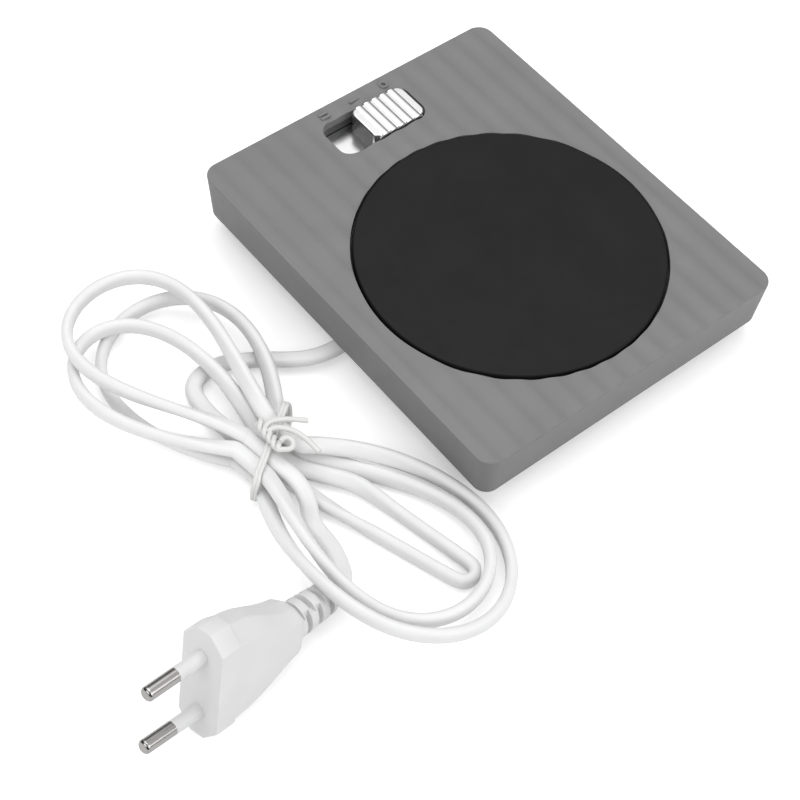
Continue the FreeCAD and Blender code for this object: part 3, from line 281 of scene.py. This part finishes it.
FINISHES = {
    "housing_grey": moulded("silver_housing", (0.178, 0.178, 0.179), 0.45, 0.03, 3500.0, 0.000012, 0.3),
    "cover_dark": moulded("dark_underside", (0.03, 0.03, 0.032), 0.6),
    "disc_black": moulded("black_hotplate_coating", (0.009, 0.009, 0.009), 0.5, 0.1, 1800.0, 0.00001, 0.14),
    "seal_rubber": moulded("black_silicone", (0.012, 0.012, 0.012), 0.7),
    "heater_foil": metal("heater_foil", (0.6, 0.58, 0.52), 0.4),
    "felt_white": moulded("white_fibre_felt", (0.7, 0.68, 0.62), 0.95, 0.12, 900.0, 0.0003),
    "steel_plain": metal("zinc_plate", (0.6, 0.6, 0.6), 0.32, (1.0, 12.0, 1.0)),
    "screw_steel": metal("screw_zinc", (0.55, 0.55, 0.55), 0.3),
    "thermostat_black": moulded("phenolic_black", (0.03, 0.025, 0.02), 0.45),
    "fuse_metal": metal("fuse_case", (0.72, 0.66, 0.5), 0.3),
    "knob_chrome": metal("knob_chrome_plate", (0.8, 0.8, 0.8), 0.2, spread=0.03),
    "guide_grey": moulded("guide_dark_grey", (0.07, 0.07, 0.072), 0.5),
    "retainer_black": moulded("retainer_black", (0.02, 0.02, 0.02), 0.5),
    "board_tan": moulded("board_laminate", (0.35, 0.24, 0.1), 0.4),
    "switch_steel": metal("switch_case_steel", (0.6, 0.6, 0.6), 0.35),
    "lever_black": moulded("lever_black", (0.02, 0.02, 0.02), 0.4),
    "diode_black": moulded("diode_black", (0.02, 0.02, 0.02), 0.3),
    "terminal_brass": metal("tinned_brass", (0.78, 0.72, 0.55), 0.3),
    "bushing_white": moulded("white_bushing", (0.6, 0.6, 0.59), 0.55),
    "grip_white": moulded("white_grip", (0.65, 0.65, 0.63), 0.5),
    "cord_white": moulded("white_flex_sheath", (0.74, 0.74, 0.74), 0.42, 0.02, 1200.0, 0.00003),
    "foot_rubber": moulded("black_foot_rubber", (0.02, 0.02, 0.02), 0.8),
    "wire_brown": moulded("brown_insulation", (0.11, 0.05, 0.025), 0.4),
    "wire_blue": moulded("blue_insulation", (0.02, 0.07, 0.3), 0.4),
    "wire_glass": moulded("glass_braid", (0.6, 0.6, 0.57), 0.85, 0.15, 1500.0, 0.0002),
    "tie_white": moulded("white_tie_strip", (0.68, 0.68, 0.67), 0.5, 0.02),
    "plug_white": moulded("white_plug_moulding", (0.66, 0.66, 0.66), 0.42, 0.02, 1500.0, 0.00002),
    "pin_nickel": metal("nickel_pin", (0.4, 0.39, 0.38), 0.2, (1.0, 1.0, 8.0), 0.05),
    "sleeve_white": moulded("white_pin_sleeve", (0.66, 0.66, 0.66), 0.3, 0.02),
    "bridge_white": moulded("hard_insert", (0.55, 0.55, 0.52), 0.5),
}


def dress(piece, slot):
    piece.data.materials.clear()
    piece.data.materials.append(FINISHES[slot])


def dress_cad_nodes():
    """Every CAD node gets the finish that the record names for it."""
    for part in frame["record"]["subparts"]:
        thing = bpy.data.objects.get(part["node"])
        if thing is None or thing.type != "MESH":
            continue
        if len(thing.material_slots) == 0:
            thing.data.materials.append(FINISHES[part["material_slot"]])
        for slot in thing.material_slots:
            slot.material = FINISHES[part["material_slot"]]


dress_cad_nodes()


# Camera: it looks down on the object from the cord's side, rolled a few degrees.

SENSOR_WIDTH = 36.0
FOCAL_LENGTH = 83.97
CAMERA_PLACE = Vector((-0.26298, -0.25229, 0.43675))
CAMERA_AZIMUTH = math.radians(-43.03)
CAMERA_ELEVATION = math.radians(54.22)
CAMERA_ROLL = math.radians(5.29)


def product_camera():
    data = bpy.data.cameras.new("product_camera")
    data.sensor_width = SENSOR_WIDTH
    data.lens = FOCAL_LENGTH
    camera = bpy.data.objects.new("product_camera", data)
    bpy.context.scene.collection.objects.link(camera)
    bpy.context.scene.camera = camera
    level = math.cos(CAMERA_ELEVATION)
    back = Vector((math.sin(CAMERA_AZIMUTH) * level, -math.cos(CAMERA_AZIMUTH) * level,
                   math.sin(CAMERA_ELEVATION)))
    flat_right = Vector((0, 0, 1)).cross(back).normalized()
    flat_up = back.cross(flat_right)
    right = flat_right * math.cos(CAMERA_ROLL) + flat_up * math.sin(CAMERA_ROLL)
    up = flat_up * math.cos(CAMERA_ROLL) - flat_right * math.sin(CAMERA_ROLL)
    turn = Matrix((right, up, back)).transposed()
    camera.matrix_world = Matrix.Translation(CAMERA_PLACE) @ turn.to_4x4()


product_camera()


# Floor and light.

FLOOR_SIZE = 6.0
FLOOR_GLOW = 0.35
EVEN_STRENGTH = 0.55
SEEN_STRENGTH = 1.0
LIGHT_AIM = Vector((-0.03, 0.0, 0.0))


def mix_shaders(tree, share, first, second):
    """Gives the second shader where share is 1 and the first where it is 0."""
    mix = tree.nodes.new("ShaderNodeMixShader")
    tree.links.new(share, mix.inputs["Fac"])
    tree.links.new(first, mix.inputs[1])
    tree.links.new(second, mix.inputs[2])
    return mix.outputs["Shader"]


def pale_floor():
    """A pale floor that shows white to the camera where no shadow falls."""
    deselect()
    bpy.ops.mesh.primitive_plane_add(size=FLOOR_SIZE, location=(0, 0, 0))
    floor = bpy.context.active_object
    floor.name = "floor"
    material, tree, shader = new_material("floor_paper", (0.86, 0.86, 0.86), 0.9, specular=0.1)
    glow = tree.nodes.new("ShaderNodeEmission")
    glow.inputs["Color"].default_value = WHITE
    glow.inputs["Strength"].default_value = FLOOR_GLOW
    add = tree.nodes.new("ShaderNodeAddShader")
    tree.links.new(shader.outputs["BSDF"], add.inputs[0])
    tree.links.new(glow.outputs["Emission"], add.inputs[1])
    paths = tree.nodes.new("ShaderNodeLightPath")
    surface = mix_shaders(tree, paths.outputs["Is Camera Ray"], shader.outputs["BSDF"], add.outputs["Shader"])
    tree.links.new(surface, tree.nodes["Material Output"].inputs["Surface"])
    floor.data.materials.append(material)


pale_floor()


def white_background(tree, strength):
    background = tree.nodes.new("ShaderNodeBackground")
    background.inputs["Color"].default_value = WHITE
    background.inputs["Strength"].default_value = strength
    return background


def studio_world():
    """White to the camera, even for soft light, and in mirrored rays darker low down and to the left."""
    world = bpy.data.worlds.new("studio")
    bpy.context.scene.world = world
    world.use_nodes = True
    tree = world.node_tree
    tree.nodes.remove(tree.nodes["Background"])
    even = white_background(tree, EVEN_STRENGTH)
    mirrored = white_background(tree, 1.0)
    seen = white_background(tree, SEEN_STRENGTH)
    place = tree.nodes.new("ShaderNodeTexCoord")
    split = tree.nodes.new("ShaderNodeSeparateXYZ")
    tree.links.new(place.outputs["Generated"], split.inputs["Vector"])
    height = map_range(tree, split.outputs["Z"], start=0.3, end=0.6, low=0.12, high=0.88)
    side = map_range(tree, split.outputs["X"], start=-0.35, end=0.05, low=0.1, high=1.0)
    product = tree.nodes.new("ShaderNodeMath")
    product.operation = "MULTIPLY"
    tree.links.new(height.outputs["Result"], product.inputs[0])
    tree.links.new(side.outputs["Result"], product.inputs[1])
    tree.links.new(product.outputs["Value"], mirrored.inputs["Strength"])
    paths = tree.nodes.new("ShaderNodeLightPath")
    lit = mix_shaders(tree, paths.outputs["Is Glossy Ray"], even.outputs["Background"],
                      mirrored.outputs["Background"])
    shown = mix_shaders(tree, paths.outputs["Is Camera Ray"], lit, seen.outputs["Background"])
    tree.links.new(shown, tree.nodes["World Output"].inputs["Surface"])


def soft_box(name, place, width, height, power):
    """A rectangular lamp aimed at the object's middle."""
    data = bpy.data.lights.new(name, "AREA")
    data.shape = "RECTANGLE"
    data.size = width
    data.size_y = height
    data.energy = power
    lamp = bpy.data.objects.new(name, data)
    bpy.context.scene.collection.objects.link(lamp)
    aim = (LIGHT_AIM - Vector(place)).to_track_quat("-Z", "Y")
    lamp.matrix_world = Matrix.Translation(Vector(place)) @ aim.to_matrix().to_4x4()


studio_world()
soft_box("top_box", (0.1, 0.25, 1.1), width=1.1, height=1.1, power=7.0)
soft_box("front_box", (0.35, -0.95, 0.55), width=0.9, height=0.7, power=5.0)
soft_box("side_box", (-1.0, -0.1, 0.6), width=0.7, height=0.7, power=3.6)


# Plug's place: the middle of its pin face, and its turns in degrees.

PLUG_PLACE = Vector((-151.4, -70.06, 19.0))
PLUG_HEADING = 188.2
PLUG_TILT = 16.08
PLUG_LEAN = -9.6


def plug_axes():
    h, t, r = [math.radians(a) for a in (PLUG_HEADING, PLUG_TILT, PLUG_LEAN)]
    u = Vector((math.cos(h) * math.cos(t), math.sin(h) * math.cos(t), math.sin(t)))
    side = Vector((0, 0, 1)).cross(u).normalized()
    up = u.cross(side)
    w = (up * math.cos(r) + side * math.sin(r)) * -1.0
    return u, w, u.cross(w)


PLUG_AXES = plug_axes()


# Cord: one line of control points, flat flex round it. FLOOR is the height of the middle line of a strand
# that lies on the floor, and WAIST is the middle of the tie.

FLOOR = 2.3
LAYER_RISE = 5.0
WAIST = Vector((-91.0, -17.2, 0.0))
WAIST_BEARING = -83.0
WAIST_HALF = 5.5
WAIST_LIFT = 0.8
SLOT_PITCH = 4.95
LEAD_SLOT = (-0.5, 0)
STRAIGHT_END = 3.0
FOLD_OPENING = 22.0
POINTS_PER_LOBE = 20
FOLD_POINTS = 44
FLEX_WIDTH = 5.1
FLEX_THICK = 3.3
EDGE_GAIN = 1.6
EDGE_POWER = 1.5
EDGE_CLEARANCE = 0.03
EXIT_POINT = Vector((-50.87, 1.0, 4.5))
BOOT_REACH = 47.5
# Reach, bearing, half width, fullness (none for the narrow fold), heights at the eighths, slot it ends in.
# A search program set all but the slots: it moved a fit to the photo until the strands kept apart.
LOBES = [
    (67.6, -74.0, -3.0, None, (2.4, 2.4, 2.4, 2.4, 2.4, 2.8, 3.2), (0.5, 0)),
    (64.4, 107.7, -17.8, 0.56, (5.5, 7.4, 7.9, 7.6, 7.2, 7.3, 7.6), (-1.5, 1)),
    (72.7, -77.8, -23.9, 0.71, (10.1, 10.2, 8.2, 6.1, 4.8, 3.4, 2.4), (1.5, 0)),
    (64.5, 92.5, -22.0, 0.42, (6.1, 7.5, 6.0, 3.8, 2.4, 2.4, 2.5), (-1.5, 0)),
    (79.4, -76.7, -26.8, 0.34, (7.2, 13.5, 10.1, 4.9, 2.8, 4.0, 6.4), (1.2, 1)),
    (73.0, 101.3, -25.9, 0.9, (10.0, 11.4, 12.1, 12.4, 12.4, 11.5, 10.0), (-0.5, 1)),
]


def bearing_vector(bearing):
    a = math.radians(bearing)
    return Vector((math.cos(a), math.sin(a), 0.0))


def waist_point(slot, along):
    across = bearing_vector(WAIST_BEARING + 90.0) * (slot[0] * SLOT_PITCH)
    height = FLOOR + WAIST_LIFT + slot[1] * LAYER_RISE
    return WAIST + bearing_vector(WAIST_BEARING) * along + across + Vector((0, 0, height))


def level(levels, turn):
    steps = [b - a for a, b in zip(levels, levels[1:])]
    slopes = [0.0]
    for a, b in zip(steps, steps[1:]):
        slopes.append(2.0 * a * b / (a + b) if a * b > 0 else 0.0)
    slopes.append(0.0)
    i = min(int(turn * len(steps)), len(steps) - 1)
    f = turn * len(steps) - i
    ease = slopes[i] * f * (1.0 - f) ** 2 - slopes[i + 1] * f * f * (1.0 - f)
    return levels[i] + steps[i] * f * f * (3.0 - 2.0 * f) + ease


def fold_offsets(reach, half, turn):
    run = reach - WAIST_HALF - half
    along = turn * (2.0 * run + math.pi * half)
    if run <= along <= run + math.pi * half:
        angle = (along - run) / half
        return run + half * math.sin(angle), half - half * math.cos(angle)
    ahead = min(along, 2.0 * run + math.pi * half - along)
    spread = min(max(ahead / FOLD_OPENING, 0.0), 1.0)
    aside = 2.0 * half * spread * spread * (3.0 - 2.0 * spread)
    return ahead, 0.0 if along < run else aside


def lobe_point(lobe, slot_in, turn):
    reach, bearing, width, full, heights, into = lobe
    side = 1.0 if bearing < 0 else -1.0
    out = (1.0 - math.cos(2.0 * math.pi * turn)) / 2.0
    start = waist_point(slot_in, side * WAIST_HALF)
    end = waist_point(into, side * WAIST_HALF)
    if full is None:
        ahead, aside = fold_offsets(reach, abs(width), turn)
    else:
        ahead = (reach - WAIST_HALF) * out
        aside = width * math.sin(2.0 * math.pi * turn) * out ** full
    share = (1.0 - math.cos(math.pi * turn)) / 2.0
    point = start + (end - start) * share
    point += bearing_vector(bearing) * ahead + bearing_vector(bearing + 90.0) * aside
    point.z = level([start.z, *heights, end.z], turn)
    return point


def lead_points():
    """From the housing over the floor to the tie."""
    end = waist_point(LEAD_SLOT, -WAIST_HALF - STRAIGHT_END)
    back = bearing_vector(WAIST_BEARING) * -1.0
    return [EXIT_POINT, EXIT_POINT + Vector((-6.0, 0, 0)), Vector((-64.37, 4.6, FLOOR + 1.0)),
            Vector((-72.87, 12.2, FLOOR)), Vector((-84.0, 18.6, FLOOR)), Vector((-95.0, 16.6, FLOOR)),
            Vector((end.x, end.y, FLOOR)) + back * 15.5, end + back * 6.0, end]


def tail_points(slot):
    """From the tie over the floor into the plug's strain relief."""
    start = waist_point(slot, WAIST_HALF + STRAIGHT_END)
    ahead = bearing_vector(WAIST_BEARING)
    u = PLUG_AXES[0]
    boot_end = PLUG_PLACE - u * BOOT_REACH
    return [start, start + ahead * 5.0, start + ahead * 11.0 + Vector((-1.4, 0, -1.6)),
            Vector((-95.0, -41.5, FLOOR)), Vector((-94.6, -50.0, FLOOR)), Vector((-97.0, -58.5, FLOOR + 0.3)),
            boot_end - u * 6.0, boot_end, boot_end + u * 8.0]


def cord_points():
    """The whole route and each point's turn in degrees, 90 lying flat and 0 on edge.

    A point that stands on edge is lifted until the section clears the floor.
    """
    slot = LEAD_SLOT
    points = lead_points() + [waist_point(slot, -WAIST_HALF)]
    on_edge = {}
    for lobe in LOBES:
        side = 1.0 if lobe[1] < 0 else -1.0
        points.append(waist_point(slot, side * WAIST_HALF))
        steps = FOLD_POINTS if lobe[3] is None else POINTS_PER_LOBE
        for i in range(1, steps):
            on_edge[len(points)] = min(1.0, EDGE_GAIN * math.sin(math.pi * i / steps) ** EDGE_POWER)
            points.append(lobe_point(lobe, slot, i / steps))
        slot = lobe[5]
        points.append(waist_point(slot, side * WAIST_HALF))
    points += tail_points(slot)
    for i, share in on_edge.items():
        half_height = (FLEX_THICK + (FLEX_WIDTH - FLEX_THICK) * share) / 2
        points[i].z = max(points[i].z, half_height + EDGE_CLEARANCE)
    turns = [90.0 * (1.0 - on_edge.get(i, 0.0)) for i in range(len(points))]
    return points, turns


def flat_flex():
    points, turns = cord_points()
    data = bpy.data.curves.new("mains_cord", "CURVE")
    data.dimensions = "3D"
    data.twist_mode = "Z_UP"
    data.resolution_u = 6
    data.bevel_mode = "ROUND"
    data.bevel_depth = FLEX_THICK / 2 * MM
    data.extrude = (FLEX_WIDTH - FLEX_THICK) / 2 * MM
    data.bevel_resolution = 3
    data.use_fill_caps = True
    spline = data.splines.new("NURBS")
    spline.points.add(len(points) - 1)
    for slot, point, turn in zip(spline.points, points, turns):
        slot.co = (*(point * MM), 1.0)
        slot.tilt = math.radians(turn)
    spline.order_u = 3
    spline.use_endpoint_u = True
    cord = bpy.data.objects.new("mains_cord", data)
    bpy.context.scene.collection.objects.link(cord)
    cord.data.materials.append(FINISHES["cord_white"])
    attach(cord, "housing")
    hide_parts("cord_lead", "cord_hank", "cord_tail")
    return cord


cord = flat_flex()


# Tie: a band of two thin strips round the strands, a short twist on top and two loose ends.

STRAND_RADIUS = 2.15
TIE_SKEW = 62.0
TIE_CLEAR = 0.3
TIE_SLACK = 3.4
TIE_LOW = 0.75
TIE_RISE = 0.65
BAND_HALF = 1.5 * SLOT_PITCH + 2.5
BAND_CORNER = 3.7
BAND_POINTS = 48
BAND_WAVE = 0.35
STRIP_PITCH = 0.95
STRIP_SPREAD = 0.1
TWIST_START = Vector((-90.6, -11.2, 12.4))
TWIST_END = Vector((-91.4, -22.4, 12.6))
TWIST_STEPS = 16
TWIST_ANGLE = 0.95
TWIST_WIDE = 0.95
TWIST_HIGH = 0.7
TWIST_LIFT = 0.2
CURL_MIDDLE = Vector((-88.9, -22.4, 12.6))
CURL_STEPS = 9
CURL_START = 200.0
CURL_ANGLE = 38.0
CURL_RISE = 0.16
NECK = Vector((-89.4, -13.2, 13.2))


def strand(name, points, radius, closed=False):
    """One round strip of the tie along a smooth line, as a mesh."""
    data = bpy.data.curves.new(name, "CURVE")
    data.dimensions = "3D"
    data.resolution_u = 5
    data.bevel_depth = radius * MM
    data.bevel_resolution = 2
    data.use_fill_caps = not closed
    spline = data.splines.new("NURBS")
    spline.points.add(len(points) - 1)
    for slot, point in zip(spline.points, points):
        slot.co = (*(point * MM), 1.0)
    spline.order_u = 4
    spline.use_cyclic_u = closed
    spline.use_endpoint_u = not closed
    thing = bpy.data.objects.new(name, data)
    bpy.context.scene.collection.objects.link(thing)
    thing.data.materials.append(FINISHES["tie_white"])
    select_only(thing)
    bpy.ops.object.convert(target="MESH")
    return thing


def tie_band():
    """The two strips of the band, side by side on a rectangle with round corners."""
    along = bearing_vector(WAIST_BEARING - TIE_SKEW)
    across = bearing_vector(WAIST_BEARING - TIE_SKEW + 90.0)
    half = BAND_HALF / math.sin(math.radians(TIE_SKEW)) + TIE_CLEAR + TIE_SLACK
    top = FLOOR + WAIST_LIFT + LAYER_RISE + STRAND_RADIUS + TIE_RISE
    middle = (TIE_LOW + top) / 2
    lift = (top - TIE_LOW) / 2
    band = []
    for turn in range(BAND_POINTS):
        a = 2.0 * math.pi * turn / BAND_POINTS
        x = math.copysign(half - BAND_CORNER, math.cos(a)) + BAND_CORNER * math.cos(a)
        z = math.copysign(lift - BAND_CORNER, math.sin(a)) + BAND_CORNER * math.sin(a)
        wave = across * (BAND_WAVE * math.sin(a * 2.0))
        band.append(WAIST + along * x + Vector((0, 0, middle + z)) + wave)
    beside = [b + across * STRIP_PITCH + (b - WAIST).normalized() * STRIP_SPREAD for b in band]
    return [strand("tie_band", band, 0.7, closed=True),
            strand("tie_band_second", beside, 0.6, closed=True)]


def tie_twist():
    """Two strips wound round each other, one of which ends in a curl."""
    strips = []
    for k in (0, 1):
        coil = []
        for s in range(TWIST_STEPS + 1):
            a = s * TWIST_ANGLE + k * math.pi
            wound = Vector((TWIST_WIDE * math.cos(a), 0.0, TWIST_HIGH * math.sin(a) + TWIST_LIFT))
            coil.append(TWIST_START.lerp(TWIST_END, s / TWIST_STEPS) + wound)
        if k == 0:
            for s in range(CURL_STEPS):
                a = math.radians(CURL_START + s * CURL_ANGLE)
                curl = Vector((1.7 * math.cos(a), 1.9 * math.sin(a), 0.5 + CURL_RISE * s))
                coil.append(CURL_MIDDLE + curl)
        strips.append(strand("tie_twist_%d" % k, coil, 0.78))
    return strips


def tie_ends():
    """The two loose ends, over the strands on the housing's side."""
    upper = [(-1.5, -1.6, -0.4), (0.0, 0.0, 0.0), (2.6, -1.0, 0.9), (6.0, -3.6, 1.2), (9.6, -6.8, 0.8)]
    lower = [(-1.2, -2.6, -0.4), (0.6, -2.2, 0.5), (3.2, -5.2, 1.3), (5.6, -10.2, 1.2), (6.0, -16.4, 0.0)]
    return [strand(name, [NECK + Vector(step) for step in steps], 0.8)
            for name, steps in (("tie_end_upper", upper), ("tie_end_lower", lower))]


def twisted_tie():
    tie = join(*tie_band(), *tie_twist(), *tie_ends())
    tie.name = "tie_strip"
    bpy.ops.object.shade_smooth()
    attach(tie, "housing")
    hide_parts("cord_tie")
    return tie


tie = twisted_tie()


# Plug's moulding and strain relief, made along X with the pin face at 0 and then turned to their place.

# Distance behind the pin face, half width and half thickness of the plug's moulding.
PLUG_PROFILE = [(0.0, 17.65, 6.85), (6.6, 17.65, 6.85), (7.0, 16.9, 6.35), (12.0, 16.2, 6.4), (16.5, 14.2, 6.45),
                (20.5, 11.6, 6.5), (24.5, 9.3, 6.4), (28.0, 7.9, 6.1), (30.5, 7.4, 5.9), (32.0, 6.4, 5.4)]
COLLAR_CHAMFER = 4.55
BOOT_LENGTH = 17.0
BOOT_MIDDLE = -39.0
BOOT_END_RADIUS = 4.5
BOOT_NECK_RADIUS = 5.5
BOOT_ROWS = 3
FIRST_ROW = -44.2
ROW_PITCH = 4.6
CUT_OFFSET = 6.1
CUT_WIDTH = 1.9
CUT_DEPTH = 6.4
CUT_LENGTH = 12.0


def place_in_plug_frame(piece):
    u, w, n = PLUG_AXES
    turn = Matrix((u, w, n)).transposed().to_4x4()
    piece.matrix_world = Matrix.Translation(PLUG_PLACE * MM) @ turn
    select_only(piece)
    apply_place()


def moulded_plug():
    """An octagonal collar, a step, and a body that narrows to the strain relief."""
    before = PLUG_PROFILE[1]
    body = add_block((before[0], 2 * before[1], 2 * before[2]), (-before[0] / 2, 0.0, 0.0))
    body.name = "plug_moulding"
    select_edges_along(body, 0)
    bpy.ops.mesh.bevel(offset=COLLAR_CHAMFER * MM, segments=1, affect="EDGES")
    select_back_face(body)
    for station in PLUG_PROFILE[2:]:
        step = (-(station[0] - before[0]) * MM, 0, 0)
        bpy.ops.mesh.extrude_region_move(TRANSFORM_OT_translate={"value": step})
        ratio = (1.0, station[1] / before[1], station[2] / before[2])
        bpy.ops.transform.resize(value=ratio, center_override=(0, 0, 0))
        before = station
    bpy.ops.object.mode_set(mode="OBJECT")
    soften(body, "soft_edges", width=0.9, segments=3, angle=16.0)
    return body


def cut_slot(piece, place, size):
    tool = add_block(size, place)
    apply_modifier(piece, "BOOLEAN", "slot", object=tool, operation="DIFFERENCE", solver="EXACT")
    select_only(tool)
    bpy.ops.object.delete()


def slotted_boot():
    """The tapered strain relief with staggered slots and a rounded end."""
    deselect()
    bpy.ops.mesh.primitive_cone_add(vertices=48, radius1=BOOT_END_RADIUS * MM, radius2=BOOT_NECK_RADIUS * MM,
                                    depth=BOOT_LENGTH * MM, location=(BOOT_MIDDLE * MM, 0, 0),
                                    rotation=(0, math.radians(90.0), 0))
    boot = bpy.context.active_object
    apply_place()
    soften(boot, "round_end", width=1.6, segments=4, angle=50.0)
    for row in range(BOOT_ROWS):
        s = FIRST_ROW + row * ROW_PITCH
        for side in (-1, 1):
            cut_slot(boot, (s, 0.0, side * CUT_OFFSET), (CUT_WIDTH, CUT_LENGTH, CUT_DEPTH))
            cut_slot(boot, (s + ROW_PITCH / 2, side * CUT_OFFSET, 0.0), (CUT_WIDTH, CUT_DEPTH, CUT_LENGTH))
    soften(boot, "slot_edges", width=0.3, segments=2, angle=45.0)
    return boot


def whole_plug():
    body = join(moulded_plug(), slotted_boot())
    place_in_plug_frame(body)
    bpy.ops.object.shade_smooth_by_angle(angle=math.radians(32.0))
    dress(body, "plug_white")
    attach(body, "housing")
    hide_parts("plug_body")
    return body


# Knob, at the off end of its travel.

KNOB_PLACE = (5.3, 52.4)
KNOB_SIZE = (19.6, 13.7)
KNOB_CORNER = 2.6
KNOB_FOOT = 16.6
KNOB_TOP = 23.95
SKIRT_SIZE = (45.1, 17.5)
SKIRT_CORNER = 1.0
SKIRT_FOOT = 16.04
SKIRT_TOP = 17.0
RIDGE_COUNT = 5
RIDGE_PITCH = 3.1
RIDGE_RADIUS = 2.6
RIDGE_RISE = 0.24
RIDGE_LENGTH = KNOB_SIZE[1] + 0.5


def rounded_slab(size, corner, foot, top):
    """A slab at the knob's place with round upright corners and softened rims."""
    slab = add_block((*size, top - foot), (*KNOB_PLACE, (foot + top) / 2))
    select_edges_along(slab, 2)
    bpy.ops.mesh.bevel(offset=corner * MM, segments=7, affect="EDGES")
    bpy.ops.object.mode_set(mode="OBJECT")
    soften(slab, "rim", width=0.5, segments=3, angle=60.0)
    return slab


def knob_ridge(offset):
    """A low round ridge along Y, mostly sunk in the knob."""
    bpy.ops.mesh.primitive_cylinder_add(vertices=48, radius=RIDGE_RADIUS * MM, depth=RIDGE_LENGTH * MM,
                                        rotation=(math.radians(90.0), 0, 0))
    ridge = bpy.context.active_object
    x, y = KNOB_PLACE
    ridge.location = ((x + offset) * MM, y * MM, (KNOB_TOP + RIDGE_RISE - RIDGE_RADIUS) * MM)
    apply_place()
    soften(ridge, "end", width=0.4, segments=3, angle=60.0)
    return ridge


def softened_knob():
    """Chromed knob: a block with round corners, five ridges, and the skirt plate below."""
    parts = [rounded_slab(KNOB_SIZE, KNOB_CORNER, KNOB_FOOT, KNOB_TOP),
             rounded_slab(SKIRT_SIZE, SKIRT_CORNER, SKIRT_FOOT, SKIRT_TOP)]
    parts += [knob_ridge((i - (RIDGE_COUNT - 1) / 2) * RIDGE_PITCH) for i in range(RIDGE_COUNT)]
    knob = join(*parts)
    knob.name = "ridged_knob"
    bpy.ops.object.shade_smooth_by_angle(angle=math.radians(40.0))
    apply_modifier(knob, "WEIGHTED_NORMAL", "flat_faces", keep_sharp=True)
    dress(knob, "knob_chrome")
    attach(knob, "slider")
    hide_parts("slide_knob")


softened_knob()
plug = whole_plug()

bpy.context.scene.view_settings.view_transform = "Standard"
